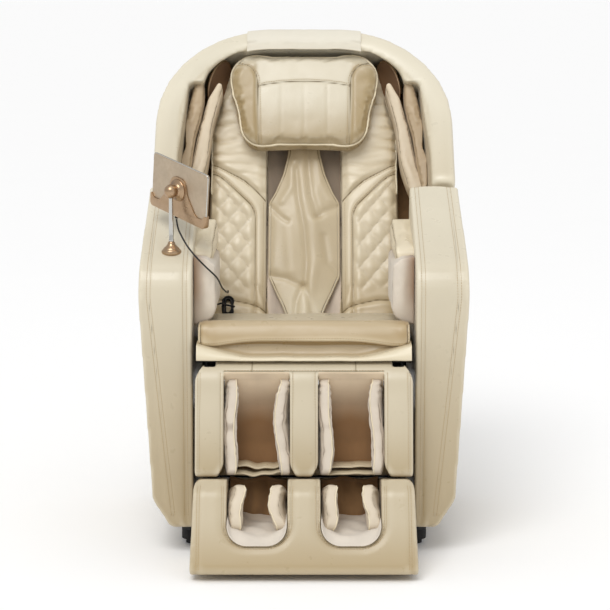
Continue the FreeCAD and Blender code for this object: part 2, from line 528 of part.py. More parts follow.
flap = leg([("90", "240", "12"), ("100", "312", "8"), ("-30", "296", "10"), ("-30", "236", "10")])
both("foot_airbags", "leg",
     prism("x", flap, "foot_well_x - foot_well_half", "foot_well_x - foot_well_half + 16"),
     prism("x", flap, "foot_well_x + foot_well_half - 16", "foot_well_x + foot_well_half"))

# ---------------------------------------------------------------- tablet stand
slope_cut = prism("x", [("40", "620"), ("40", "661 + 0.47714 * 40"), ("120", "661 + 0.47714 * 120"),
                        ("120", "620")], "stand_x - 40", "stand_x + 40")
bell = doc.addObject("Part::Cone", "Bell")
bell.Radius1 = 22
bell.Radius2 = 8
bell.Height = 18
bell.setExpression("Placement.Base.x", ex("stand_x"))
bell.setExpression("Placement.Base.y", ex("stand_y"))
bell.Placement.Base.z = 702
bell_foot = rod("z", ("stand_x", "stand_y"), "22", ("684", "702"))
node("stand_base", cut(fuse(bell, bell_foot), slope_cut, rod("z", ("stand_x", "stand_y"), "4.5 + run_gap",
                                                             ("706", "722"))))
stalk_tip = doc.addObject("Part::Cone", "Stalk")
stalk_tip.Radius1 = 6
stalk_tip.Radius2 = 4
stalk_tip.setExpression("Placement.Base.x", ex("stand_x"))
stalk_tip.setExpression("Placement.Base.y", ex("stand_y"))
stalk_tip.Placement.Base.z = 720.3
stalk_tip.setExpression("Height", ex("ball_z - ball_radius - 716"))
ball = doc.addObject("Part::Sphere", "Ball")
ball.setExpression("Radius", ex("ball_radius"))
for name, term in (("x", "stand_x"), ("y", "stand_y"), ("z", "ball_z")):
    ball.setExpression("Placement.Base." + name, ex(term))
node("stand_stalk", fuse(rod("z", ("stand_x", "stand_y"), "4.5", ("706.3", "721")), stalk_tip, ball))


def tablet_node(label, obj):
    """Places a tablet piece, modelled about the ball with +Y through the screen."""
    if obj.TypeId == "Part::Box":
        obj = group(obj)
    turn = FreeCAD.Rotation(FreeCAD.Vector(0, 0, 1), -val("tablet_yaw"))
    turn = turn.multiply(FreeCAD.Rotation(FreeCAD.Vector(1, 0, 0), val("tablet_tilt")))
    turn = turn.multiply(FreeCAD.Rotation(FreeCAD.Vector(0, 1, 0), val("tablet_roll")))
    obj.Placement = FreeCAD.Placement(FreeCAD.Vector(), turn)
    obj.setExpression("Placement.Base.x", ex("stand_x"))
    obj.setExpression("Placement.Base.y", ex("stand_y - mid_depth"))
    obj.setExpression("Placement.Base.z", ex("ball_z"))
    obj.Label = label
    NODES[label] = obj


socket = doc.addObject("Part::Sphere", "Socket")
socket.setExpression("Radius", ex("ball_radius + 0.35"))
hub = cut(fuse(rod("y", ("0", "0"), "15", ("9", "20")), rod("y", ("0", "0"), "24", ("16", "20"))), socket)
half_long = "tablet_long / 2"
half_high = "tablet_high / 2"
wave = [("-(%s) - 2" % half_long, "-(%s) - 3" % half_high, "10"), ("%s + 2" % half_long, "-(%s) - 3" % half_high, "10"),
        ("%s + 2" % half_long, "-22", "4"), ("%s - 16" % half_long, "-36", "10"), ("36", "-6", "14"),
        ("20", "26", "14"), ("-20", "26", "14"), ("-36", "-6", "14"), ("-(%s) + 16" % half_long, "-36", "10"),
        ("-(%s) - 2" % half_long, "-22", "4")]
cradle = cut(prism("y", wave, "20", "32"),
             box(("-(%s)" % half_long, half_long), ("23", "40"), ("-(%s)" % half_high, half_high)))
gland = rod("z", ("-8", "26"), "4", ("-(%s) - 9" % half_high, "-(%s) - 3" % half_high))
tablet_node("tablet_cradle", fuse(cradle, hub, gland))
case = prism("y", [("-(%s)" % half_long, "-(%s)" % half_high, "9"), (half_long, "-(%s)" % half_high, "9"),
                   (half_long, half_high, "9"), ("-(%s)" % half_long, half_high, "9")], "23", "32")
glass = prism("y", [("-(%s) + 4" % half_long, "-(%s) + 4" % half_high, "6"), ("%s - 4" % half_long, "-(%s) + 4" % half_high, "6"),
                    ("%s - 4" % half_long, "%s - 4" % half_high, "6"), ("-(%s) + 4" % half_long, "%s - 4" % half_high, "6")],
              "32", "33")
tablet_node("tablet", group(case, glass))


# ---------------------------------------------------------------- tablet cable
def tube(label, points, radius):
    """A round cable along straight runs joined by tangent arcs."""
    route = [FreeCAD.Vector(*p) - FreeCAD.Vector(0, val("mid_depth"), 0) for p in points]
    edges = []
    bends = []
    last = route[0]
    for before, here, after in zip(route, route[1:], route[2:]):
        back = (before - here)
        ahead = (after - here)
        turn = math.pi - back.getAngle(ahead)
        if turn < 1e-3:
            continue
        reach = 0.45 * min(back.Length, ahead.Length)
        bends.append(reach / math.tan(turn / 2))
        enter = here + back.normalize() * reach
        leave = here + ahead.normalize() * reach
        bisect = (back + ahead).normalize()
        centre = here + bisect * (bends[-1] / math.cos(turn / 2))
        middle = centre - bisect * bends[-1]
        edges.append(Part.makeLine(last, enter))
        edges.append(Part.Arc(enter, middle, leave).toShape())
        last = leave
    edges.append(Part.makeLine(last, route[-1]))
    wire = Part.Wire(edges)
    start = Part.Wire([Part.makeCircle(radius, route[0], route[1] - route[0])])
    solid = wire.makePipeShell([start], True, False)
    print(label, "length %.1f mm" % wire.Length, "bend radii", [round(r, 1) for r in bends])
    feature = doc.addObject("Part::Feature", "Cable")
    feature.Shape = solid
    feature.Placement = FreeCAD.Placement()
    feature.Label = label
    NODES[label] = feature


CABLE_UPPER = [(-296, 115.5, 770.5), (-295, 109, 761), (-290, 95, 748)]
CABLE_LOWER = [(-287, 90, 742.5), (-276, 79, 726), (-262, 73, 708), (-247, 76, 687), (-227, 94, 661),
               (-212, 121, 639), (-204, 155, 621), (-198, 198, 604), (-194, 247, 589), (-191, 299, 577),
               (-190, 350, 568), (-190, 400, 561), (-190, 438, 556), (-190, 456, 548.5)]
CABLE_TAIL = [(-207, 450, 521), (-221, 444, 517), (-235, 433, 519), (-254.5, 430, 520)]
cable = val("cable_radius")
tube("cable_upper", CABLE_UPPER, cable)
tube("cable_lower", CABLE_LOWER, cable)
tube("cable_tail", CABLE_TAIL, cable)
node("cable_hank", prism("y", [("-206", "76", "8"), ("-172", "76", "8"), ("-172", "126", "8"), ("-206", "126", "8")],
                         "-78", "-64"), "back")

# ---------------------------------------------------------------- checks and export
doc.recompute()
for obj in doc.Objects:
    for flag in obj.State:
        if flag in ("Invalid", "Error"):
            raise RuntimeError("%s (%s) is %s" % (obj.Label, obj.Name, flag))
os.makedirs("parts", exist_ok=True)
whole = FreeCAD.BoundBox()
for label, obj in sorted(NODES.items()):
    shape = obj.Shape
    if not shape.isValid() or not shape.Solids or min(s.Volume for s in shape.Solids) <= 0:
        raise RuntimeError("bad shape: " + label)
    whole.add(shape.BoundBox)
    shape.exportStep("parts/%s.step" % label)
print(len(NODES), "sub-parts; X %.1f..%.1f  Y %.1f..%.1f  Z %.1f..%.1f" % (
    whole.XMin, whole.XMax, whole.YMin, whole.YMax, whole.ZMin, whole.ZMax))
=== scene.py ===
import json
import math

import bmesh
import bpy
import numpy as np
from mathutils import Matrix, Vector, noise
from mathutils.bvhtree import BVHTree


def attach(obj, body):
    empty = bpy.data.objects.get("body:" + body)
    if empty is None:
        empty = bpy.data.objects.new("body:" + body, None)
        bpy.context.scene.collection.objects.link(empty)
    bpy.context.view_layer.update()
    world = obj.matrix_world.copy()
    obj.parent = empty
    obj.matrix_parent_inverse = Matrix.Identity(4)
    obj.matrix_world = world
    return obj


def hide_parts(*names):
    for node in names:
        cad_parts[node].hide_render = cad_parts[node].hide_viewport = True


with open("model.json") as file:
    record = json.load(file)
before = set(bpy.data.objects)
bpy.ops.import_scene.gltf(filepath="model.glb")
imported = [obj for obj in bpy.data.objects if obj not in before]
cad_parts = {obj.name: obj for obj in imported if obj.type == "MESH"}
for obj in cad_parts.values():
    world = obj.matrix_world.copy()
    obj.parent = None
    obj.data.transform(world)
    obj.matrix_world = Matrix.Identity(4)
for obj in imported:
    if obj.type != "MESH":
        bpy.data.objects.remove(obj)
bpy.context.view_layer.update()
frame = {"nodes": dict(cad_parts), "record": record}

# Massage chair: the upholstery, materials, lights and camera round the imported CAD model.
# Outlines are in millimetres in three places: BASE (x, back from the arms' front, up),
# BACK (x, behind the pads, up the backrest) and LEG (x, forward, down the legrest).

MM = 0.001
FAR = 50  # millimetres: no seam near
SHARP = math.radians(40)  # edges sharper than this are bevelled
CLOTH_STEPS = 20
TURN = 2 * math.pi
scene = bpy.context.scene
JOINTS = {joint["name"]: joint for joint in frame["record"]["behaviour"]["joints"]}
NODES = frame["nodes"]
RECLINE = JOINTS["recline"]["pos_m"]
HINGE = JOINTS["leg_lift"]["pos_m"]
ARM_TO_RECLINE = 0.470  # metres, front to back
ARM_FRONT = RECLINE[1] - ARM_TO_RECLINE
BACK_TILT = math.radians(25)
LEG_TILT = math.radians(12)


def place(origin, second, third):
    """A frame with x across; the other two axes as given."""
    matrix = Matrix.Identity(4)
    for column, axis in enumerate(((1, 0, 0), second, third)):
        for row in range(3):
            matrix[row][column] = axis[row]
    matrix.translation = origin
    return matrix


BASE = place((0, ARM_FRONT, 0), (0, 1, 0), (0, 0, 1))
BACK = place(RECLINE, (0, math.cos(BACK_TILT), -math.sin(BACK_TILT)), (0, math.sin(BACK_TILT), math.cos(BACK_TILT)))
LEG = place(HINGE, (0, -math.cos(LEG_TILT), math.sin(LEG_TILT)), (0, -math.sin(LEG_TILT), -math.cos(LEG_TILT)))


# ---------------------------------------------------------------- camera
CAMERA_BACK = 4.5
CAMERA_HIGH = 1.3
CAMERA_DIP = math.radians(9.0)
camera_data = bpy.data.cameras.new("camera")
camera_data.lens = 118
camera_data.sensor_width = 36
camera_data.clip_end = 1000
camera = bpy.data.objects.new("camera", camera_data)
camera.location = (0.0023, ARM_FRONT - CAMERA_BACK, CAMERA_HIGH)
camera.rotation_euler = (math.radians(90) - CAMERA_DIP, 0, 0)
scene.collection.objects.link(camera)
scene.camera = camera


# ---------------------------------------------------------------- materials
def tone(red, green, blue):
    """A linear colour from 8-bit display values."""
    def one(value):
        value /= 255
        return value / 12.92 if value <= 0.04045 else ((value + 0.055) / 1.055) ** 2.4
    return (one(red), one(green), one(blue), 1)


def darker(colour, factor):
    """The same colour at another strength."""
    return tuple(min(1, factor * c) for c in colour[:3]) + (1,)


class Paint:
    """One Principled material and the nodes that feed it."""

    def __init__(self, name, roughness=0.5, metallic=0.0, specular=0.5):
        self.material = bpy.data.materials.new(name)
        self.material.use_nodes = True
        self.tree = self.material.node_tree
        self.shader = self.tree.nodes["Principled BSDF"]
        self.shader.inputs["Roughness"].default_value = roughness
        self.shader.inputs["Metallic"].default_value = metallic
        self.shader.inputs["Specular IOR Level"].default_value = specular
        self.coords = self.tree.nodes.new("ShaderNodeTexCoord").outputs["Object"]
        self.height = None

    def add(self, kind, links=(), **values):
        node = self.tree.nodes.new(kind)
        for name, value in values.items():
            setattr(node, name, value)
        for socket, source in dict(links).items():
            if hasattr(source, "is_linked"):
                self.tree.links.new(source, node.inputs[socket])
            else:
                node.inputs[socket].default_value = source
        return node

    def mapped(self, stretch=(1, 1, 1)):
        return self.add("ShaderNodeMapping", {"Vector": self.coords, "Scale": stretch}).outputs[0]

    def noise(self, scale, detail=3.0, stretch=(1, 1, 1)):
        links = {"Vector": self.mapped(stretch), "Scale": scale, "Detail": detail}
        return self.add("ShaderNodeTexNoise", links).outputs["Fac"]

    def pebbles(self, scale):
        links = {"Vector": self.mapped(), "Scale": scale}
        return self.add("ShaderNodeTexVoronoi", links, feature="SMOOTH_F1").outputs["Distance"]

    def attribute(self, name):
        return self.add("ShaderNodeAttribute", attribute_name=name).outputs["Fac"]

    def span(self, source, low, high, start=0.0, end=1.0):
        return self.add("ShaderNodeMapRange", {"Value": source, "From Min": low, "From Max": high,
                                               "To Min": start, "To Max": end}).outputs["Result"]

    def mix(self, amount, first, second):
        return self.add("ShaderNodeMix", {"Factor": amount, 6: first, 7: second}, data_type="RGBA").outputs[2]

    def colour(self, source):
        self.tree.links.new(source, self.shader.inputs["Base Color"])

    def rough(self, source):
        self.tree.links.new(source, self.shader.inputs["Roughness"])

    def bump(self, source, strength, distance):
        links = {"Height": source, "Strength": strength, "Distance": distance}
        if self.height is not None:
            links["Normal"] = self.height
        self.height = self.add("ShaderNodeBump", links).outputs["Normal"]
        self.tree.links.new(self.height, self.shader.inputs["Normal"])


def leather(name, light, deep, rough=0.31, grain=0.28):
    """Soft leather: pebble grain, painted shade from the shade mark and in the creases, darker seams, paler worn
    ridges.
    """
    paint = Paint(name, roughness=rough, specular=0.5)
    soft = paint.mix(paint.span(paint.noise(7, 4), 0.35, 0.68), light, darker(light, 0.955))
    # painted shade: the shade mark darkens the colour towards the deep one
    shaded = paint.mix(paint.attribute("shade"), soft, deep)
    # painted shade in creases: hollows darken towards a deeper colour
    crease_shade = paint.span(paint.attribute("curve"), 0.06, 0.7, 0.0, 0.75)
    crease_shaded = paint.mix(crease_shade, shaded, darker(deep, 0.62))
    ridge = paint.span(paint.attribute("curve"), -0.1, -0.6, 0.0, 0.6)
    worn = paint.mix(ridge, crease_shaded, darker(light, 1.16))
    seam = paint.span(paint.attribute("seam"), 0.7, 2.2, 1.0, 0.0)
    paint.colour(paint.mix(seam, worn, darker(deep, 0.45)))
    paint.rough(paint.span(paint.noise(38, 4), 0.3, 0.7, rough - 0.05, rough + 0.09))
    paint.bump(paint.pebbles(720), grain, 0.0004)
    paint.bump(paint.noise(150, 5), grain * 0.5, 0.0006)
    paint.bump(paint.span(paint.attribute("seam"), 0.4, 2.6), 0.9, 0.0012)
    paint.shader.inputs["Sheen Weight"].default_value = 0.08
    paint.shader.inputs["Sheen Roughness"].default_value = 0.4
    return paint.material


def fabric(name, light, deep, rough=0.85, weave=900, sheen=0.35):
    """Knitted or woven cloth with a fine rib in two directions, painted shade from the shade mark and in the creases,
    darker seams.
    """
    paint = Paint(name, roughness=rough, specular=0.2)
    soft = paint.mix(paint.span(paint.noise(26, 4), 0.3, 0.7), light, darker(light, 0.9))
    # painted shade: the shade mark darkens the colour towards the deep one
    shaded = paint.mix(paint.attribute("shade"), soft, deep)
    # painted shade in creases: hollows darken towards a deeper colour
    crease_shade = paint.span(paint.attribute("curve"), 0.05, 0.8)
    crease_shaded = paint.mix(crease_shade, shaded, darker(deep, 0.6))
    seam = paint.span(paint.attribute("seam"), 0.7, 2.2, 1.0, 0.0)
    paint.colour(paint.mix(seam, crease_shaded, darker(deep, 0.5)))
    for stretch in ((1, 0.05, 0.05), (0.05, 0.05, 1), (0.05, 1, 0.05)):
        paint.bump(paint.noise(weave, 1, stretch), 0.22, 0.0004)
    paint.shader.inputs["Sheen Weight"].default_value = sheen
    paint.shader.inputs["Sheen Roughness"].default_value = 0.5
    return paint.material


def metal(name, light, rough, brushed=0.0, metallic=1.0):
    paint = Paint(name, roughness=rough, metallic=metallic)
    paint.colour(paint.mix(paint.span(paint.noise(30, 3), 0.3, 0.7), light, darker(light, 0.88)))
    paint.rough(paint.span(paint.noise(120, 3), 0.3, 0.7, rough * 0.8, rough * 1.25))
    if brushed:
        paint.bump(paint.noise(500, 2, (0.04, 1, 1)), brushed, 0.0002)
    return paint.material


def moulded(name, light, rough=0.5, texture=0.3, scale=900):
    """Moulded plastic or powder coat with a fine spark-eroded texture."""
    paint = Paint(name, roughness=rough, specular=0.4)
    paint.colour(paint.mix(paint.span(paint.noise(12, 4), 0.3, 0.7), light, darker(light, 0.9)))
    paint.rough(paint.span(paint.noise(60, 3), 0.3, 0.7, rough - 0.06, rough + 0.08))
    paint.bump(paint.noise(scale, 3), texture, 0.0003)
    return paint.material


CREAM = leather("cream_leather", tone(218, 210, 189), tone(168, 147, 108))
PALE = leather("pale_leather", tone(230, 219, 194), tone(178, 152, 104))
SHADOW = leather("shadow_leather", tone(220, 208, 180), tone(162, 136, 94))
BLUSH = fabric("blush_fabric", tone(222, 211, 195), tone(140, 106, 76))
BAG = leather("airbag_cloth", tone(214, 201, 180), tone(182, 158, 122), rough=0.6, grain=0.2)
TAUPE = fabric("taupe_fabric", tone(228, 212, 194), tone(108, 92, 74))
LINER = fabric("liner_fabric", tone(238, 218, 188), tone(136, 102, 68))
BROWN = fabric("brown_fabric", tone(132, 100, 66), tone(70, 50, 29))
SOLE = fabric("sole_fabric", tone(218, 208, 194), tone(176, 154, 130))
SHELL = moulded("shell_plastic", tone(208, 196, 168), 0.5)
BLACK = moulded("black_plastic", tone(30, 30, 31), 0.5)
RUBBER = moulded("black_rubber", tone(22, 22, 23), 0.7, 0.5, 500)
FRAME = moulded("frame_steel", tone(38, 38, 40), 0.45, 0.25)
STEEL = metal("bright_steel", tone(196, 196, 198), 0.25, 0.2)
CHROME = metal("chrome", tone(206, 204, 198), 0.12)
COPPER = metal("copper", tone(182, 154, 124), 0.32)
CHAMPAGNE = metal("champagne", tone(188, 170, 146), 0.42, 0.1, 0.55)
ROLLER = moulded("roller_plastic", tone(202, 196, 182), 0.3, 0.1)
GLASS = moulded("dark_glass", tone(14, 15, 18), 0.12, 0.02)
CORD = moulded("cord_sheath", tone(24, 23, 23), 0.5, 0.35, 400)
THREAD = moulded("thread", tone(186, 162, 122), 0.8, 0.3, 1500)
PIPING = leather("piping_leather", tone(226, 214, 186), tone(208, 188, 148), rough=0.45)


# ---------------------------------------------------------------- outlines
def rounded(points, closed=True, step=14):
    """An outline's points with the third value of each as its corner radius, as arcs."""
    result = []
    count = len(points)
    for index, point in enumerate(points):
        radius = point[2] if len(point) > 2 else 0
        if not radius or (not closed and index in (0, count - 1)):
            result.append((point[0], point[1]))
            continue
        here = np.array(point[:2], float)
        ways = []
        for other in (points[index - 1], points[(index + 1) % count]):
            way = np.array(other[:2], float) - here
            ways.append(way / np.linalg.norm(way))
        half = math.acos(max(-1, min(1, ways[0] @ ways[1]))) / 2
        bisector = ways[0] + ways[1]
        centre = here + bisector / np.linalg.norm(bisector) * radius / math.sin(half)
        reach = radius / math.tan(half)
        start, end = [here + way * reach - centre for way in ways]
        first = math.atan2(start[1], start[0])
        sweep = (math.atan2(end[1], end[0]) - first + math.pi) % TURN - math.pi
        steps = max(2, math.ceil(abs(math.degrees(sweep)) / step))
        for k in range(steps + 1):
            angle = first + sweep * k / steps
            result.append((centre[0] + radius * math.cos(angle), centre[1] + radius * math.sin(angle)))
    return result


def track(points, step=8):
    """An open outline."""
    return rounded(points, False, step)


def both(points):
    """An outline's right half and its mirror image, in one run."""
    return points + [(-q[0], *q[1:]) for q in points[::-1]]


def spaced(path, gap):
    """Points every gap along a path."""
    path = np.array(path, float)
    lengths = np.linalg.norm(np.diff(path, axis=0), axis=1)
    along = np.concatenate(([0], np.cumsum(lengths)))
    count = max(2, int(along[-1] / gap) + 1)
    marks = np.linspace(0, along[-1], count)
    return np.stack([np.interp(marks, along, path[:, k]) for k in range(path.shape[1])], axis=1)


def near(points, path):
    """Each point's distance to a path."""
    path = np.array(path, float)
    best = np.full(len(points), 1e6)
    for start, end in zip(path[:-1], path[1:]):
        way = end - start
        part = np.clip((points - start) @ way / max(way @ way, 1e-9), 0, 1)
        best = np.minimum(best, np.linalg.norm(points - start - part[:, None] * way, axis=1))
    return best


def ease(value, low, high):
    """0 below low, 1 above high, smooth between."""
    part = np.clip((value - low) / (high - low), 0, 1)
    return part * part * (3 - 2 * part)


def dip(gap, width):
    """1 where the gap is 0, close to 0 two widths away."""
    return np.exp(-(gap / width) ** 2)


def waves(points, scale, seed, stretch=(1, 1, 1)):
    """Soft noise from -1 to 1, in features about scale millimetres wide."""
    shift = Vector((seed * 7.31, seed * 3.17, seed * 5.71))
    scaled = points * [s / scale for s in stretch]
    return np.array([noise.noise(Vector(p) + shift) for p in scaled])


# ---------------------------------------------------------------- meshes
def make(verts, faces):
    """A new object, its mesh in metres from points in millimetres."""
    mesh = bpy.data.meshes.new("piece")
    mesh.from_pydata([tuple(MM * float(c) for c in v) for v in verts], [], [list(f) for f in faces])
    shape = bmesh.new()
    shape.from_mesh(mesh)
    bmesh.ops.recalc_face_normals(shape, faces=shape.faces)
    shape.to_mesh(mesh)
    shape.free()
    obj = bpy.data.objects.new("piece", mesh)
    scene.collection.objects.link(obj)
    return obj


def prism(plane, points, low, high):
    """A closed block: an outline pushed from low to high across the plane's own axis."""
    flat = rounded(points)
    count = len(flat)
    order = {"x": (2, 0, 1), "y": (0, 2, 1), "z": (0, 1, 2)}[plane]
    verts = [[(u, v, w)[k] for k in order] for w in (low, high) for u, v in flat]
    faces = [(i, (i + 1) % count, count + (i + 1) % count, count + i) for i in range(count)]
    faces += [range(count), range(2 * count - 1, count - 1, -1)]
    return make(verts, faces)


def to_side(side, near_x, far_x):
    """The two x limits, in order, of something on that side of the middle."""
    return sorted((side * near_x, side * far_x))


def drum(centre, radius, low, high):
    """A cylinder along x."""
    ring = [(centre[0] + radius * math.cos(a * math.pi / 36), centre[1] + radius * math.sin(a * math.pi / 36))
            for a in range(72)]
    return prism("x", ring, low, high)


def grid(rows):
    """A sheet from rows of points."""
    wide = len(rows[0])
    faces = [(r * wide + c, r * wide + c + 1, (r + 1) * wide + c + 1, (r + 1) * wide + c)
             for r in range(len(rows) - 1) for c in range(wide - 1)]
    return make([p for row in rows for p in row], faces)


def surface(ups, acrosses, spot):
    """A sheet whose point at (up, across) is spot(up, across)."""
    return grid([[spot(up, across) for across in acrosses] for up in ups])


def in_both_wells(ups, acrosses, spot):
    """That sheet in the left and in the right well; spot also takes the side, -1 or 1."""
    return unite(*[surface(ups, acrosses, lambda up, across: spot(side, up, across)) for side in (-1, 1)])


def settle(obj):
    """Applies the object's modifiers."""
    bpy.context.view_layer.update()
    graph = bpy.context.evaluated_depsgraph_get()
    mesh = bpy.data.meshes.new_from_object(obj.evaluated_get(graph))
    obj.modifiers.clear()
    obj.data = mesh
    return obj


def shaped(obj, *steps):
    """Applies modifiers, each given as its kind and its settings."""
    for kind, values in steps:
        modifier = obj.modifiers.new("step", kind)
        for name, value in values.items():
            setattr(modifier, name, value)
    return settle(obj)


def drop(obj):
    bpy.data.objects.remove(obj, do_unlink=True)


def bool_all(base, operation, *tools):
    """Boolean of base with each tool in turn; the tools go."""
    shaped(base, *[("BOOLEAN", {"operation": operation, "object": tool, "solver": "EXACT"}) for tool in tools])
    for tool in tools:
        drop(tool)
    return base


def unite(base, *others):
    """Joins meshes into one object without welding them."""
    shape = bmesh.new()
    for obj in (base,) + others:
        shape.from_mesh(obj.data)
    shape.to_mesh(base.data)
    shape.free()
    for obj in others:
        drop(obj)
    return base


def soften(obj, voxel, smooth):
    """Remeshes to even quads of that size in millimetres and rounds the edges."""
    return shaped(obj, ("REMESH", {"mode": "VOXEL", "voxel_size": voxel * MM}),
                  ("SMOOTH", {"factor": 0.5, "iterations": smooth}))


def polish(obj):
    """Takes the sharpest kinks off a worked surface."""
    return shaped(obj, ("SMOOTH", {"factor": 0.3, "iterations": 1}))


def points_of(obj):
    """The mesh's points in millimetres."""
    flat = np.empty(len(obj.data.vertices) * 3)
    obj.data.vertices.foreach_get("co", flat)
    return flat.reshape(-1, 3) / MM


def normals_of(obj):
    flat = np.empty(len(obj.data.vertices) * 3)
    obj.data.vertices.foreach_get("normal", flat)
    return flat.reshape(-1, 3)


def set_points(obj, points):
    obj.data.vertices.foreach_set("co", (points * MM).ravel())
    obj.data.update()


def push(obj, heights):
    """Moves each point out along its normal by that many millimetres."""
    set_points(obj, points_of(obj) + normals_of(obj) * heights[:, None])


def mark(obj, name, values):
    """Stores one number for each point, or the same one for all."""
    layer = obj.data.attributes.get(name) or obj.data.attributes.new(name, "FLOAT", "POINT")
    layer.data.foreach_set("value", np.full(len(obj.data.vertices), values, np.float32))


def swell(obj, cap, pressure=4.0):
    """Cloth pressure from inside; no point moves more than cap millimetres."""
    before = points_of(obj)
    cloth = obj.modifiers.new("swell", "CLOTH")
    cloth.settings.use_pressure = True
    cloth.settings.uniform_pressure_force = pressure
    cloth.settings.effector_weights.gravity = 0
    for number in range(1, CLOTH_STEPS + 1):
        scene.frame_set(number)
    settle(obj)
    scene.frame_set(1)
    move = points_of(obj) - before
    size = np.linalg.norm(move, axis=1)
    set_points(obj, before + move * (np.minimum(size, cap) / np.maximum(size, 1e-9))[:, None])
    return obj


def plump_up(obj, voxel, smooth, cap):
    """Remeshes, rounds and inflates a block into a padded piece."""
    return swell(soften(obj, voxel, smooth), cap)


def mirrored(obj):
    """A copy on the other side of the middle plane."""
    twin = bpy.data.objects.new("piece", obj.data.copy())
    scene.collection.objects.link(twin)
    twin.data.transform(Matrix.Scale(-1, 4, (1, 0, 0)))
    twin.data.flip_normals()
    return twin


def tube(verts, sides, closed=False):
    """A tube from rings of points, one after another; open ends are capped."""
    count = len(verts) // sides
    faces = [(r * sides + k, r * sides + (k + 1) % sides, (r + 1) % count * sides + (k + 1) % sides,
              (r + 1) % count * sides + k) for r in range(count if closed else count - 1) for k in range(sides)]
    if not closed:
        faces += [range(sides), range((count - 1) * sides, count * sides)]
    return make(verts, faces)


def sweep(path, radius, sides=8, closed=False):
    """A round tube along a path of points."""
    path = np.array(path, float)
    if closed:
        ahead = np.roll(path, -1, axis=0) - np.roll(path, 1, axis=0)
    else:
        ahead = np.gradient(path, axis=0)
    ahead /= np.linalg.norm(ahead, axis=1)[:, None]
    up = np.cross(ahead[0], (0.31, 0.42, 0.85))
    verts = []
    for point, way in zip(path, ahead):
        up = up - way * (up @ way)
        up /= np.linalg.norm(up)
        side = np.cross(way, up)
        for k in range(sides):
            angle = TURN * k / sides
            verts.append(point + radius * (math.cos(angle) * up + math.sin(angle) * side))
    return tube(verts, sides, closed)


def lathe(profile, centre, turn=36):
    """A turned piece about a vertical axis from (radius, height) points."""
    return tube([(centre[0] + r * math.cos(TURN * k / turn), centre[1] + r * math.sin(TURN * k / turn), z)
                 for r, z in profile for k in range(turn)], turn)


def on_surface(obj, path, lift=0.0, reach=40):
    """Moves a path onto the nearest place of the surface, raised by lift."""
    tree = BVHTree.FromObject(obj, bpy.context.evaluated_depsgraph_get())
    found = []
    for point in path:
        spot, normal, _, _ = tree.find_nearest(Vector(point) * MM, reach * MM)
        if spot is not None:
            found.append((np.array(spot) / MM + np.array(normal) * lift, np.array(normal)))
    return found


def sew(obj, path, length=4.2, pitch=6.4, radius=0.65):
    """Thread along a path on the surface, one small tapered bar for each stitch."""
    spots = on_surface(obj, spaced(path, pitch), 0.15)
    verts, faces = [], []
    for (before, _), (after, normal) in zip(spots, spots[1:]):
        way = after - before
        gap = np.linalg.norm(way)
        if gap < 1 or gap > 3 * pitch:
            continue
        way /= gap
        side = np.cross(way, normal)
        middle = (before + after) / 2
        first = len(verts)
        for part, size in ((-0.5, 0.35), (-0.36, 1), (0.36, 1), (0.5, 0.35)):
            for a, b in ((1, 0), (0, 1), (-1, 0), (0, -1)):
                verts.append(middle + way * part * length + size * radius * (a * side + b * normal))
        for ring in range(3):
            for k in range(4):
                low = first + ring * 4
                faces.append((low + k, low + (k + 1) % 4, low + 4 + (k + 1) % 4, low + 4 + k))
        faces += [range(first, first + 4), range(first + 12, first + 16)]
    return verts, faces


def bend_marks(obj):
    """Stores how hollow (+) or ridged (-) the surface is at each point."""
    mesh = obj.data
    points = points_of(obj)
    pairs = np.empty(len(mesh.edges) * 2, np.int64)
    mesh.edges.foreach_get("vertices", pairs)
    pairs = pairs.reshape(-1, 2)
    total = np.zeros_like(points)
    count = np.zeros(len(points))
    for a, b in ((0, 1), (1, 0)):
        np.add.at(total, pairs[:, a], points[pairs[:, b]])
        np.add.at(count, pairs[:, a], 1)
    lean = total / np.maximum(count, 1)[:, None] - points
    value = (lean * normals_of(obj)).sum(axis=1)
    for _ in range(6):
        spread = np.zeros(len(points))
        for a, b in ((0, 1), (1, 0)):
            np.add.at(spread, pairs[:, a], value[pairs[:, b]])
        value = 0.5 * value + 0.5 * spread / np.maximum(count, 1)
    mark(obj, "curve", value)


def plain_name(material):
    """The name without the number a second material of that name is given."""
    return material.name.split(".")[0]


def finish(obj, name, where, material, body, nodes=(), slot=None, seam=FAR, shade=None):
    """The slot argument is not used.
    """
    obj.name = name
    obj.data.name = name
    bend_marks(obj)
    mark(obj, "seam", seam)
    obj.data.transform(where)
    # painted shade: unless given, each piece is darker towards the floor
    if shade is None:
        world = points_of(obj)
        shade = 0.75 * (1 - ease(world[:, 2], 60, 950))
    mark(obj, "shade", shade)
    obj.data.materials.clear()
    obj.data.materials.append(material)
    obj.data.polygons.foreach_set("use_smooth", np.ones(len(obj.data.polygons), bool))
    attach(obj, body)
    if nodes:
        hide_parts(*nodes)
    slot or plain_name(material)
    return obj


def across_threads(bundles):
    """The same stitches on the other side of the middle plane."""
    return [([np.array(v) * (-1, 1, 1) for v in verts], [f[::-1] for f in faces]) for verts, faces in bundles]


def threads(name, bundles, where, body):
    """One piece of all the stitches sewn on a body."""
    verts, faces = [], []
    for more, sides in bundles:
        faces += [[len(verts) + i for i in face] for face in sides]
        verts += more
    return finish(make(verts, faces), name, where, THREAD, body, slot="cream_leather")


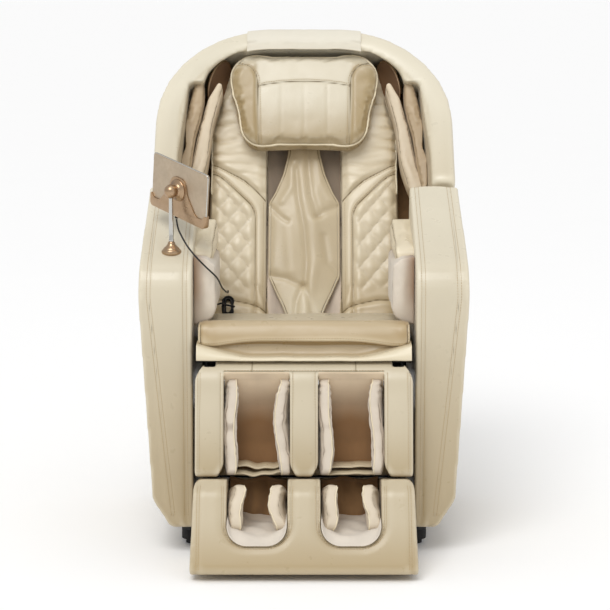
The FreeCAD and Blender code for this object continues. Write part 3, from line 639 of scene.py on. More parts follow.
# ---------------------------------------------------------------- cords
ROUTES = {
    "cable_upper": [(-296, 115.5, 770.5), (-295, 109, 761), (-290, 95, 748)],
    "cable_lower": [(-289.6, 94.3, 747), (-276, 73, 723), (-258, 58, 701), (-241, 52, 683), (-222, 51, 664),
                    (-205, 54, 648), (-198, 78, 634), (-195, 115, 618), (-193, 158, 603), (-190, 208, 590),
                    (-187, 260, 578), (-186, 312, 568), (-187, 362, 561), (-189, 402, 557), (-190, 438, 555),
                    (-190, 456, 548.5)],
    "cable_tail": [(-207, 450, 521), (-221, 444, 517), (-235, 433, 519), (-254.5, 430, 520)],
}
CORD_RADIUS = 0.002


def cord(label, points, body):
    """A round NURBS cord from control points in metres, in place of the CAD part of that name."""
    curve = bpy.data.curves.new(label + "_cord", "CURVE")
    curve.dimensions = "3D"
    spline = curve.splines.new("NURBS")
    spline.points.add(len(points) - 1)
    for spot, point in zip(spline.points, points):
        spot.co = (*point, 1)
    spline.order_u = 3
    spline.use_endpoint_u = True
    curve.resolution_u = 8
    curve.bevel_depth = CORD_RADIUS
    curve.bevel_resolution = 3
    curve.use_fill_caps = True
    curve.materials.append(CORD)
    obj = bpy.data.objects.new(label + "_cord", curve)
    scene.collection.objects.link(obj)
    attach(obj, body)
    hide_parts(label)


for label, body, length, lay in (("cable_upper", "tablet_unit", 0.031, "hanging"),
                                 ("cable_lower", "base", 0.55, "hanging"), ("cable_tail", "base", 0.053, "loose")):
    cord(label, [BASE @ (Vector(p) * MM) for p in ROUTES[label]], body)

# the tied hank: six turns in three layers of a larger and a smaller loop, long sides up and down
HANK_X, HANK_H = -190, 92
HANK_TURNS, TURN_POINTS = 6, 14
hank = []
for turn in range(HANK_TURNS):
    outer_loop = turn % 2 == 0
    for k in range(TURN_POINTS):
        angle = TURN * (k + 0.5) / TURN_POINTS
        reach = (13.0 if outer_loop else 8.4) + (0.8, -0.6, 0.3, -0.3, 0.5, -0.9)[turn]
        x = HANK_X + reach * math.cos(angle) + (0.8, -0.8, -1.4, 1.0, 0.4, -0.4)[turn]
        h = HANK_H + reach * math.sin(angle) + 11.5 * (1 if math.sin(angle) > 0 else -1)
        hank.append(BACK @ (Vector((x, -66.5 - 4.2 * (turn // 2) - 0.15 * (k + TURN_POINTS * (turn % 2)), h)) * MM))
cord("cable_hank", hank, "base")
tie = [(HANK_X + 15 * math.cos(a), -71.5 + 9.4 * math.sin(a), HANK_H + 1.5 * math.sin(2 * a))
       for a in [TURN * k / 24 for k in range(24)]]
finish(sweep(tie, 2.2, 8, True), "cable_tie", BACK, RUBBER, "base")


# ---------------------------------------------------------------- arms
ARM_EDGE = ((64, 308), (130, 350), (600, 378), (880, 372))


def arm_outer(z):
    return np.interp(z, [e[0] for e in ARM_EDGE], [e[1] for e in ARM_EDGE])


def front_line(inset):
    """Up the arm's front, over its shoulder and along its sloping top, at an inset from the faces."""
    return track([(inset, 92), (inset, 661 - 0.6 * inset, 90 - inset), (352, 829 - 1.1 * inset)])


arm = prism("y", [(256, 64, 6), (308, 64, 14), (350, 130, 30), (378, 600, 300), (372, 880), (256, 880)], -1, 680)
CASING = [(0, 64, 6), (0, 661, 90), (350, 828, 8), (408, 590), (470, 400), (590, 240, 10), (590, 64, 6)]
profile = prism("x", CASING, 240, 400)
bool_all(profile, "UNION", drum((470, 400), 200, 240, 400))
bool_all(arm, "INTERSECT", profile)
soften(arm, 5, 5)
p = points_of(arm)
n = normals_of(arm)
outer = arm_outer(p[:, 2])
across = np.clip((p[:, 0] - 274) / (outer - 24 - 274), 0, 1)
facing = ease(np.maximum(-n[:, 1], n[:, 2]), 0.5, 0.9)
push(arm, facing * (2.6 * np.sqrt(np.maximum(0, 1 - (2 * across - 1) ** 2)) - 0.8))
side_path = track([(560, 92), (560, 236, 20), (470, 570, 150), (396, 585, 20), (346, 793, 20), (30, 641, 62),
                   (30, 92)])
outward = ease(n[:, 0], 0.5, 0.9)
side_gap = near(p[:, 1:], side_path)
push(arm, -2.0 * outward * dip(side_gap, 4.5) + 1.5 * outward * ease(side_gap, 5, 50))
p = points_of(arm)
mid = np.array(front_line(0))
inner_line = [(274, y, z) for y, z in mid]
outer_line = [(float(arm_outer(z)) - 23, y, z) for y, z in mid]
arm_seam = np.minimum(near(p, spaced(inner_line, 12)), near(p, spaced(outer_line, 12)))
push(arm, -1.1 * dip(arm_seam, 3.5))
arm_seam = np.minimum(arm_seam + 0.7, np.where(outward > 0.2, side_gap, FAR))
arm_threads = [sew(arm, [(x, y, z) for y, z in mid]) for x in (268.5, 277)]
arm_threads += [sew(arm, [(float(arm_outer(z)) - inset, y, z) for y, z in mid]) for inset in (18.5, 27)]
arm_threads.append(sew(arm, [(float(arm_outer(z)) + 1, y + 5 * (y < 40), z) for y, z in side_path]))
left_arm = mirrored(arm)
for obj, word, trio in ((arm, "right", ("side_panel_right", "arm_casing_right", "armrest_pad_right")),
                        (left_arm, "left", ("side_panel_left", "arm_casing_left", "armrest_pad_left"))):
    finish(obj, "arm_" + word, BASE, CREAM, "base", trio, seam=arm_seam)
threads("arm_stitching", arm_threads + across_threads(arm_threads), BASE, "base")

# inner arm pads: a rounded slab along the inside of each armrest
PAD_SIDE = [(112, 640, 12), (112, 700, 26), (343, 754, 30), (372, 655, 26)]
pad = prism("x", PAD_SIDE, 213, 262)
soften(pad, 4, 4)
p = points_of(pad)
p[:, 0] += 12 * (1 - ease(p[:, 2], 640, 700)) * (1 - ease(p[:, 0], 225, 262))
p[:, 2] -= 16 * ease(p[:, 0], 222, 262) * (1 - ease(p[:, 2], 650, 700))
set_points(pad, p)
swell(pad, 4)
p = points_of(pad)
rim = near(p[:, 1:], track([(123, 650, 12), (123, 694, 18), (338, 742, 20), (360, 664, 20), (123, 650)], 14))
pad_seam = np.where(p[:, 0] < 238, rim, FAR)
push(pad, -1.2 * dip(pad_seam, 4) + 0.8 * waves(p, 60, 3))
twin = mirrored(pad)
finish(unite(pad, twin), "arm_inner_cushions", BASE, PALE, "base", ("arm_inner_pads",),
       seam=np.concatenate((pad_seam, pad_seam)))

# hip airbags: soft flaps that lean in over the seat
HIP_BAG = [(256, 690), (226, 685, 8), (207, 670, 9), (206, 562, 14), (214, 545, 10), (232, 536, 8), (256, 529)]
bag = prism("y", HIP_BAG, 66, 326)
plump_up(bag, 4, 3, 2)
p = points_of(bag)
push(bag, 1.2 * waves(p, 60, 5, (1, 0.6, 1)) + 0.6 * waves(p, 22, 6))
p = points_of(bag)
ends = np.minimum(np.abs(p[:, 1] - 78), np.abs(p[:, 1] - 316))
bag_shade = 0.85 * ease(p[:, 0], 220, 256) * (0.45 + 0.55 * ease(p[:, 2], 545, 620)) + 0.1 * ease(p[:, 1], 90, 300)
twin = mirrored(bag)
finish(unite(bag, twin), "hip_airbag_flaps", BASE, BLUSH, "base", ("hip_airbags",),
       seam=np.concatenate((ends, ends)), shade=np.concatenate((bag_shade, bag_shade)))

# ---------------------------------------------------------------- hood
ARCH_RADIUS, ARCH_FLAT = 285, 85
EDGE_LOW = np.array((-283, 351))
EDGE_HIGH = np.array((-127, 817))
EDGE_WAY = (EDGE_HIGH - EDGE_LOW) / np.linalg.norm(EDGE_HIGH - EDGE_LOW)
EDGE_IN = np.array((EDGE_WAY[1], -EDGE_WAY[0]))


def arch_depth(x, h):
    """How far inside the hood's outer arch a point is."""
    low = 370 - np.abs(x)
    top = np.where(np.abs(x) < ARCH_FLAT, 817 - h, ARCH_RADIUS - np.hypot(np.abs(x) - ARCH_FLAT, h - 532))
    return np.where(h < 532, low, top)


hood = prism("y", [(-370, 100), (370, 100), (370, 817, 285), (-370, 817, 285)], -320, 170)
MOUTH = [(311, 430, 60), (291, 652, 5), (254, 653, 5), (242, 690, 40), (218, 716, 30), (180, 741, 60),
         (110, 765, 120)]
POCKET = [(150, 600), (264, 600, 20), (264, 680, 40), (241, 724, 30), (204, 758, 20), (150, 758)]
void = prism("y", [(-311, 90), (311, 90)] + both(MOUTH), -330, 180)
pockets = [prism("y", [(side * q[0], *q[1:]) for q in POCKET], -140, 10) for side in (1, -1)]
bool_all(hood, "DIFFERENCE", void, *pockets, drum((0, 0), 208, -400, 400))
CHEEK = [(-283, 351, 10), (-127, 817, 14), (92, 830, 30), (150, 600, 40), (150, 100), (-100, 100), (-134, 159)]
sides = prism("x", CHEEK, -380, 380)
bool_all(hood, "INTERSECT", sides)
soften(hood, 6, 6)
p = points_of(hood)
n = normals_of(hood)
inset = (p[:, 1:] - EDGE_LOW) @ EDGE_IN
band = np.clip(arch_depth(p[:, 0], p[:, 2]) / 56, 0, 1)
rim_face = 1 - ease(inset, 3, 10)
push(hood, rim_face * (5.0 * np.sin(math.pi * band) - 0.5))
wall_gap = np.abs(inset - 26)
rear_gap = np.abs(inset - 262)
hood_seam = np.minimum(wall_gap, rear_gap)
push(hood, -1.5 * dip(hood_seam, 5) + 1.2 * (1 - rim_face) * ease(hood_seam, 5, 60) + 0.5 * waves(p, 160, 9))
arch = both(track([(368, 372), (368, 815, 283), (0, 815)], 5))


def on_rim(x, h, inside):
    """The point of that arch place lying inside the slanted front edge by that much."""
    start = EDGE_LOW + EDGE_WAY * ((h - EDGE_LOW[1]) / EDGE_WAY[1])
    return (x, float(start[0]) + inside / EDGE_WAY[1], h)


hood_threads = [sew(hood, [on_rim(x, h, inside) for x, h in spaced(arch, 20)]) for inside in (22, 31)]
HOOD_TREE = BVHTree.FromObject(hood, bpy.context.evaluated_depsgraph_get())
hood_shade = 0.55 * (1 - ease(p[:, 2], 150, 700)) + 0.35 * ease(arch_depth(p[:, 0], p[:, 2]), 52, 60)
finish(hood, "hood", BACK, CREAM, "backrest", ("hood_shell",), "pale_leather", seam=hood_seam, shade=hood_shade)
threads("hood_stitching", hood_threads, BACK, "backrest")

# dark cloth closing the hood behind the pads, open over the roller track
lining = prism("y", [(-318, 212), (318, 212)] + both([(319, 430, 60), (318, 560, 40), (268, 684, 30), (244, 728, 30),
                                                      (206, 764, 20), (110, 772, 40)]), 1, 7)
bool_all(lining, "DIFFERENCE", prism("y", [(-206, 150), (206, 150), (206, 728, 30), (-206, 728, 30)], -10, 20))
soften(lining, 3, 2)
finish(lining, "hood_lining_cloth", BACK, BROWN, "backrest", shade=0.2)

# ---------------------------------------------------------------- back pads
BAND_LOW = track([(124, 40), (124, 352, 60), (212, 438, 90), (262, 460)])
BAND_HIGH = track([(94, 372), (150, 427, 120), (262, 488)])
INNER_SEAM = [(95, 40), (95, 372)]
LOWER_SEAM = track([(86, 74), (120, 96, 40), (190, 112, 60), (262, 104)], 14)
PAD_BEADS = []


def back_pad(side, seed):
    """One upholstered half of the back: gathered bolster, seam bands, quilted field and lower roll."""
    pad = prism("y", [(90, 42, 14), (243, 42, 26), (243, 560, 60), (214, 655, 50), (194, 742, 14), (168, 742, 6),
                      (168, 640, 6), (90, 640, 8)], -58, -2)
    plump_up(pad, 4, 4, 6)
    p = points_of(pad)
    x, h = p[:, 0], p[:, 2]
    flat = p[:, ::2]
    front = ease(-normals_of(pad)[:, 1], 0.15, 0.75)
    crown = 7 * np.sqrt(np.clip(1 - ((x - 168) / 82) ** 2, 0, 1)) - 3
    low_gap, high_gap = near(flat, BAND_LOW), near(flat, BAND_HIGH)
    inner_gap, roll_gap = near(flat, INNER_SEAM), near(flat, LOWER_SEAM)
    low_line = np.interp(x, [q[0] for q in BAND_LOW][2:], [q[1] for q in BAND_LOW][2:])
    high_line = np.interp(x, [q[0] for q in BAND_HIGH], [q[1] for q in BAND_HIGH])
    roll_line = np.interp(x, [q[0] for q in LOWER_SEAM], [q[1] for q in LOWER_SEAM])
    quilt = ease(x - 124, 2, 10) * ease(low_line - h, 2, 12) * ease(h - roll_line, 18, 52)
    slope = x / 50 + h / 62
    cross = x / 50 - h / 62 + 0.35
    puff = (np.abs(np.sin(math.pi * slope)) * np.abs(np.sin(math.pi * cross))) ** 0.6
    stitch_gap = np.minimum(np.abs((slope + 0.5) % 1 - 0.5), np.abs((cross + 0.5) % 1 - 0.5)) * 39
    upper = ease(h - high_line, 2, 16)
    lower = ease(roll_line - h, 2, 14)
    wobble = waves(p, 60, seed)
    gathers = np.abs(np.sin(h * math.pi / 36 + 2.6 * waves(p, 80, seed + 1, (0.7, 1, 1)) + 0.004 * (x - 160)))
    edge = 0.35 + 0.65 * ease(np.abs(x - 150), 20, 85)
    creases = (1 - gathers) ** 2 * edge
    fine = waves(p, 17, seed + 2, (0.45, 1, 1.5))
    height = crown
    pleats = waves(p, 26, seed + 4, (0.35, 1, 1.6)) * ease(x, 180, 238)
    height = height + quilt * (5.4 * puff - 1.6) + ease(low_line - h, 2, 12) * 2.6 * pleats
    height = height + upper * (5.0 - 4.6 * creases + 1.5 * fine + 2.8 * wobble)
    height = height + lower * (3.5 + 3.4 * waves(p, 34, seed + 3, (0.4, 1, 1.1)) + 1.4 * fine)
    height = height - 3.2 * dip(low_gap, 4.5) - 3.0 * dip(high_gap, 4.5)
    height = height - 2.6 * dip(inner_gap, 4) - 4.5 * dip(roll_gap, 6)
    height = height + 1.6 * dip(low_gap - 13, 8) * ease(124 - x, -400, 0)
    p[:, 1] -= front * height
    set_points(pad, p)
    polish(pad)
    seams = np.minimum(np.minimum(low_gap, high_gap), np.minimum(inner_gap, roll_gap))
    seams = np.minimum(seams, np.where(quilt > 0.6, stitch_gap + 1.5, FAR))
    seams = np.where(front > 0.2, seams, FAR)
    shade = 0.18 + 0.35 * ease(x, 195, 245) + 0.42 * (1 - ease(h, 60, 240)) + 0.35 * upper * creases
    sewn = [sew(pad, [(q[0] + dx, -66, q[1] + dh) for q in path]) for path, dx, dh in
            ((BAND_LOW, -4, 3), (BAND_HIGH[1:], 2, -5), (INNER_SEAM, 4, 0))]
    edge_path = track([(242, 392), (242, 560, 60), (213, 655, 50), (194, 738)])
    edge_path = [q for q, _ in on_surface(pad, [(u, -60, v) for u, v in spaced(edge_path, 9)], 0.6)]
    beading = sweep(edge_path, 2.4, 8)
    if side < 0:
        twin = mirrored(pad)
        drop(pad)
        pad = twin
        sewn = across_threads(sewn)
        straight, beading = beading, mirrored(beading)
        drop(straight)
    PAD_BEADS.append(beading)
    word = "right" if side > 0 else "left"
    finish(pad, "back_cushion_" + word, BACK, PALE, "backrest", ("back_pad_" + word,),
           seam=seams, shade=shade)
    return sewn


back_threads = back_pad(1, 11) + back_pad(-1, 23)
threads("back_stitching", back_threads, BACK, "backrest")
beads = unite(*PAD_BEADS)
finish(beads, "back_piping", BACK, PIPING, "backrest", slot="pale_leather", shade=0.1)

# the cloth over the rollers, loose in long folds


def roller_spot(h, x):
    fold = 3.4 * math.sin(x / 10 + 1.3 * math.sin(h / 60)) + math.sin(x / 5.3 + h / 45)
    bulge = 8 * dip(abs(x) - 49, 22) * (dip(h - 390, 50) + dip(h - 230, 50))
    return x, -41 + fold - 0.6 * bulge, h


cover = surface(np.linspace(46, 652, 122), np.linspace(-93, 93, 63), roller_spot)
shaped(cover, ("SOLIDIFY", {"thickness": 0.002}))
p = points_of(cover)
finish(cover, "roller_cloth", BACK, TAUPE, "backrest", ("roller_cover",),
       shade=0.10 + 0.75 * ease(p[:, 2], 200, 420))

# the loose centre flap: narrow at the neck, wide over the shoulder blades, long drapes
FLAP = [(36, 45), (42, 62), (54, 95), (71, 132), (90, 176), (90, 370), (74, 397), (53, 448), (41, 500), (37, 540),
        (38, 655)]
FOLDS = (([(-22, 460), (-14, 380), (0, 300), (6, 210), (3, 150)], -4.5, 8),
         ([(8, 560), (12, 450), (18, 390), (34, 335)], -5.5, 10),
         ([(-89, 366), (-62, 334), (-42, 318)], -3.5, 7), ([(89, 362), (56, 348), (32, 330)], -4.5, 10),
         ([(-89, 178), (-44, 168), (-8, 148)], -4.0, 8), ([(0, 150), (12, 118), (24, 52)], -4.5, 9),
         ([(-4, 150), (-19, 108), (-24, 52)], -3.5, 8), ([(89, 180), (60, 210), (50, 280)], -3.0, 9),
         ([(-44, 330), (-36, 250), (-30, 190)], 3.5, 18), ([(26, 320), (30, 220), (16, 140), (0, 60)], 3.5, 14),
         ([(-24, 480), (-34, 410), (-56, 374)], 3.0, 10), ([(36, 480), (44, 420), (66, 380)], 2.5, 9),
         ([(-70, 330), (-74, 200)], 2.0, 14))


def flap_half(h):
    """Half the flap's width at a height."""
    knots = [q[1] for q in FLAP]
    return np.interp(h, knots, [q[0] for q in FLAP])


def flap_spot(h, t):
    x = t * np.mean([flap_half(h + k) for k in (-4, 0, 4)])
    bulge = 9 * dip(x, 60) + 4 * dip(h - 330, 90) * (1 - t * t)
    return x, -55 - bulge + 3 * abs(t) ** 6, h


flap_heights = np.linspace(48, 650, 190)
flap = surface(flap_heights, np.linspace(-1, 1, 61), flap_spot)
p = points_of(flap)
for path, rise, wide in FOLDS:
    p[:, 1] -= rise * dip(near(p[:, ::2], path), wide)
p[:, 1] += 1.6 * waves(p, 60, 31, (1, 1, 0.6))
set_points(flap, p)
shaped(flap, ("SOLIDIFY", {"thickness": 0.0024, "offset": 0}), ("BEVEL", {"width": 0.0008, "segments": 2}))
p = points_of(flap)
edge_gap = np.array([flap_half(h) for h in p[:, 2]]) - np.abs(p[:, 0])
flap_shade = 0.38 + 0.25 * ease(p[:, 2], 380, 560) - 0.35 * (1 - ease(p[:, 2], 60, 180))
finish(flap, "centre_drape", BACK, SHADOW, "backrest", ("centre_flap",),
       seam=np.abs(edge_gap - 5) + 0.6, shade=flap_shade)

# head pad behind the pillow
head = prism("y", [(-163, 646, 10), (163, 646, 10), (163, 724, 28), (-163, 724, 28)], -54, -2)
soften(head, 5, 5)
finish(head, "head_cushion", BACK, CREAM, "backrest", ("head_pad",))

# ---------------------------------------------------------------- shoulder airbags
strips = []
for outline, low, high, cap, seed in (
        ([(207, 664, 3), (217, 669, 5), (240, 627, 30), (260, 551, 60), (283, 441, 40), (303, 377, 9), (270, 370, 9),
          (250, 441, 60), (236, 551, 60), (217, 627, 40)], -140, -66, 4, 41),
        ([(256, 672, 4), (264, 680, 5), (277, 650, 20), (287, 613, 60), (298, 543, 30), (295, 490, 30),
          (306, 455, 20), (309, 377, 8), (298, 374), (286, 447, 60), (276, 523, 60), (265, 565, 40), (257, 608, 40)],
         -155, -80, 3, 42)):
    strip = prism("y", outline, low, high)
    plump_up(strip, 3.6, 3, cap)
    p = points_of(strip)
    push(strip, 1.2 * waves(p, 48, seed, (1, 1, 0.7)) + 0.7 * waves(p, 20, seed + 5))
    strips.append(strip)
count = len(strips[0].data.vertices)
pads = unite(*strips)
p = points_of(pads)
first = np.arange(len(p)) < count
strip_seam = np.where(first, np.abs(p[:, 1] + 131), np.abs(p[:, 1] + 146)) + 0.6
strip_shade = np.where(first, 0.0, 0.55) + 0.4 * ease(p[:, 1], -128, -84)
SHOULDER = leather("shoulder_leather", tone(218, 202, 176), tone(150, 118, 70), rough=0.5)
for obj, word in ((mirrored(pads), "left"), (pads, "right")):
    finish(obj, "shoulder_airbags_" + word, BACK, SHOULDER, "backrest", ("shoulder_pads_" + word,),
           "shadow_leather", seam=strip_seam, shade=strip_shade)

# speakers: a dished cloth oval in a metallic rim
speaker_up = np.array((-0.32, 0.0, 0.947))
speaker_side = np.array((0.63, -0.75, 0.21))
speaker_way = np.cross(speaker_side, speaker_up)
speaker_at = np.array((219, -78, 690))


def oval(scale, lift, count=48):
    middle = speaker_at + speaker_way * lift
    return [middle + scale * (math.cos(a) * speaker_up * 60 + math.sin(a) * speaker_side * 33)
            for a in [TURN * k / count for k in range(count)]]


cloth_rings = [oval(s, 5 - 4 * (1 - s) ** 0.6) for s in (1, 0.9, 0.75, 0.55, 0.35, 0.15)]
verts = [v for ring in cloth_rings for v in ring]
faces = [(r * 48 + k, r * 48 + (k + 1) % 48, (r + 1) * 48 + (k + 1) % 48, (r + 1) * 48 + k)
         for r in range(5) for k in range(48)] + [range(240, 288)]
SPEAKER = fabric("speaker_cloth", tone(128, 96, 66), tone(84, 58, 36), weave=500)
speaker = make(verts, faces)
for name, obj, paint in (("speaker_cloth", speaker, SPEAKER),
                         ("speaker_rims", sweep(oval(1, 2), 3.2, 10, True), COPPER)):
    both_sides = unite(obj, mirrored(obj))
    finish(both_sides, name, BACK, paint, "backrest", ("speaker_covers",) if name == "speaker_cloth" else (),
           "speaker_cloth" if name == "speaker_cloth" else "copper", shade=0)

# ---------------------------------------------------------------- pillow and its strap
PILLOW_LINE = [(-150, 498, 56), (150, 498, 56), (187, 640, 140), (197, 752, 66), (-197, 752, 66), (-187, 640, 140)]
pillow = prism("y", PILLOW_LINE, -122, -72)
plump_up(pillow, 4, 5, 9)
p = points_of(pillow)
x, h = p[:, 0], p[:, 2]
front = ease(-normals_of(pillow)[:, 1], 0.1, 0.7)
EAR = track([(114, 496), (120, 735, 58), (176, 727, 40), (205, 700)])
ARCHED = [(x0, 671 - 12 * (x0 / 118) ** 2) for x0 in np.linspace(-118, 118, 25)]
flat = np.stack((np.abs(x), h), axis=1)
ear_gap = near(flat, EAR)
arch_gap = near(p[:, ::2], ARCHED)
channel_gap = np.where(h < 668, np.minimum(np.abs(np.abs(x) - 59), np.abs(x)), FAR)
middle = ease(118 - np.abs(x), 0, 14)
ear = ease(np.abs(x) - 118, 2, 12) * ease(728 - h, 0, 14)
crown = 7 * np.clip(1 - (x / 195) ** 2, 0, 1) * np.sin(math.pi * np.clip((h - 496) / 260, 0, 1)) ** 0.5
height = crown - 2.8 * dip(ear_gap, 4.5) - 2.0 * dip(arch_gap, 4) - 0.8 * dip(channel_gap, 3)
height += ear * (2.5 + 3.2 * waves(p, 24, 51, (0.3, 1, 1)) * ease(np.abs(x), 120, 165) * ease(h, 560, 640))
height += 1.2 * waves(p, 80, 52) + 0.5 * middle * waves(p, 30, 53)
p[:, 1] -= front * height
set_points(pillow, p)
polish(pillow)
p = points_of(pillow)
pillow_seam = np.where(front > 0.15, np.minimum(np.minimum(ear_gap, arch_gap), channel_gap + 1.4), FAR)
pillow_shade = 0.15 + 0.65 * (1 - ease(p[:, 2], 512, 640))
pillow_shade += 0.8 * ease(np.abs(p[:, 0]), 114, 128) * ease(738 - p[:, 2], 0, 40)
outline = rounded(PILLOW_LINE)


def outermost(obj, ring, level):
    """Moves a ring onto the outer edge of a piece at one depth."""
    centre = np.mean(ring, axis=0)
    search = BVHTree.FromObject(obj, bpy.context.evaluated_depsgraph_get())
    found = []
    for u, v in spaced(ring + [ring[0]], 6)[:-1]:
        way = Vector((u - centre[0], 0, v - centre[1])).normalized()
        start = Vector((u, level, v)) + way * 60
        hit = search.ray_cast(start * MM, -way)[0]
        if hit is not None:
            found.append(np.array(hit) / MM)
    return found


edge_ring = outermost(pillow, outline, -116)
pillow_threads = [sew(pillow, [(s * (q[0] - 4), -140, q[1]) for q in EAR]) for s in (1, -1)]
pillow_threads.append(sew(pillow, [(q[0], -145, q[1] + 4) for q in ARCHED]))
finish(pillow, "head_rest_pillow", BACK, CREAM, "head_pillow", ("pillow",),
       seam=pillow_seam, shade=np.clip(pillow_shade, 0, 1))
finish(sweep(edge_ring, 3.2, 8, True), "pillow_piping", BACK, PIPING, "head_pillow", slot="cream_leather",
       shade=0)
threads("pillow_stitching", pillow_threads, BACK, "head_pillow")

# strap over the hood: one broad band lying on its front lip and top
strap_line = spaced(track([(-152, 752), (-146, 768, 20), (-133, 820, 9), (-60, 824, 40), (-18, 824)], 6), 5)


def strap_spot(at, x):
    d, h = at
    fall = ARCH_RADIUS - math.sqrt(ARCH_RADIUS ** 2 - max(0, abs(x) - ARCH_FLAT) ** 2)
    ripple = 1.3 * math.sin(x / 21 + h / 26) + 0.8 * math.sin(x / 9 - h / 13)
    spot, normal, _, gap = HOOD_TREE.find_nearest(Vector((x, d, h - fall)) * MM)
    if gap < 0.016 and h > 778:
        return np.array(spot) / MM + np.array(normal) * (2.6 + 0.35 * abs(ripple))
    return x, d - 1 - max(0, ripple), h - fall


strap = surface(strap_line, np.linspace(-146, 146, 63), strap_spot)
shaped(strap, ("SOLIDIFY", {"thickness": 0.0036, "offset": 0}), ("BEVEL", {"width": 0.0012, "segments": 2}))
p = points_of(strap)
strap_seam = np.minimum(np.abs(np.abs(p[:, 0]) - 139), FAR) + 0.5
STRAP = leather("strap_leather", tone(220, 214, 198), tone(196, 182, 154), rough=0.46)
finish(strap, "pillow_band", BACK, STRAP, "backrest", ("pillow_strap",), "pale_leather", seam=strap_seam,
       shade=0.25 * (1 - ease(p[:, 2], 755, 790)))

# ---------------------------------------------------------------- seat
cushion = prism("x", [(64, 456, 6), (64, 528, 12), (436, 495, 16), (418, 456, 6)], -244, 244)
plump_up(cushion, 6, 4, 6)
p = points_of(cushion)
top = ease(normals_of(cushion)[:, 2], 0.3, 0.8)
push(cushion, top * (2.0 * waves(p, 70, 61) + 1.2 * waves(p, 26, 62, (0.5, 1, 1))))
finish(cushion, "seat_pad", BASE, CREAM, "base", ("seat_cushion",))

# front bolster: a full roll over an undercut, its lower edge drooping towards the ends
bolster = prism("x", [(-8, 505, 10), (-11, 541, 28), (58, 543, 12), (58, 470), (14, 470), (14, 505)], -243, 243)
plump_up(bolster, 5, 4, 5)
p = points_of(bolster)
n = normals_of(bolster)
front = ease(-n[:, 1], 0.2, 0.8)
droop = 14 * ease(np.abs(p[:, 0]), 80, 246) ** 1.4
lowered = ease(545 - p[:, 2], 0, 40) * (p[:, 2] > 494)
p[:, 2] -= droop * lowered
p[:, 2] += 2.5 * (1 - (p[:, 0] / 247) ** 2) * ease(p[:, 2], 520, 545)
set_points(bolster, p)
end_crease = ease(np.abs(p[:, 0]), 190, 240)
push(bolster, front * (1.8 * waves(p, 75, 63, (0.6, 1, 1)) + end_crease * 2.4 * waves(p, 18, 64, (1.2, 1, 0.7)))
     - 2.4 * dip(np.abs(p[:, 0]) - 236, 3.5))
p = points_of(bolster)
hem = [(x0, -10, 511 - 14 * float(ease(abs(x0), 80, 246)) ** 1.4) for x0 in np.linspace(-240, 240, 61)]
bolster_seam = np.where(p[:, 1] < 16, np.minimum(near(p[:, ::2], [(q[0], q[2]) for q in hem]) + 0.8,
                                                 np.abs(np.abs(p[:, 0]) - 236)), FAR)
seat_threads = [sew(bolster, hem)]
seat_threads += [sew(bolster, [(s * 238, -12, z) for z in (498, 510, 522, 534)]) for s in (1, -1)]
bolster_shade = 0.68 + 0.3 * (1 - ease(p[:, 2], 494, 532)) + 0.35 * ease(np.abs(p[:, 0]), 190, 245)
finish(bolster, "seat_front_roll", BASE, SHADOW, "base", ("seat_front_bolster",),
       seam=bolster_seam, shade=bolster_shade)
threads("seat_stitching", seat_threads, BASE, "base")

# skirt: leather falling from under the bolster into a rolled hem, twisted up at both ends


def skirt_row(x):
    away = abs(x) / 245
    lift = 29 * max(0, 2 * away - 1) ** 1.25
    out = 9 * max(0, 2 * away - 1) ** 0.6
    fall = 2 * math.sin(x / 41) + math.sin(x / 13 + 2)
    line = [(13, 503), (9, 495 + 0.2 * lift), (4 - 0.4 * fall, 475 + 0.9 * lift), (-4, 470 + lift),
            (-14 - out, 470 + lift), (-22 - 0.5 * out, 470 + 0.86 * lift), (-30, 471.5 + 0.6 * lift),
            (-36, 469 + 0.3 * lift), (-38, 465 + 0.12 * lift), (-35.5, 462.5), (-27, 465), (-16, 468)]
    return [(x, y, z + 0.5 * abs(fall) * dip(z - 472, 8)) for y, z in line]


skirt = grid([skirt_row(x) for x in np.linspace(-245, 245, 99)])
shaped(skirt, ("SUBSURF", {"levels": 2}), ("SOLIDIFY", {"thickness": 0.003}))
p = points_of(skirt)
skirt_shade = 0.45 * ease(p[:, 1], -12, 0) + 0.15 * ease(p[:, 1], -34, -16)
finish(skirt, "seat_apron", BASE, SHADOW, "base", ("seat_skirt",), shade=skirt_shade)

# ---------------------------------------------------------------- calf section
CALF_FRONT, CALF_BACK, CALF_LOW, CALF_HALF = 55, 58, 210, 247
WELL_MID, WELL_HALF = 107, 75


def round_top(radius):
    """The quarter round over the hinge, from the top to the front."""
    return [(radius * math.sin(a), -radius * math.cos(a)) for a in np.radians(np.linspace(0, 90, 16))]


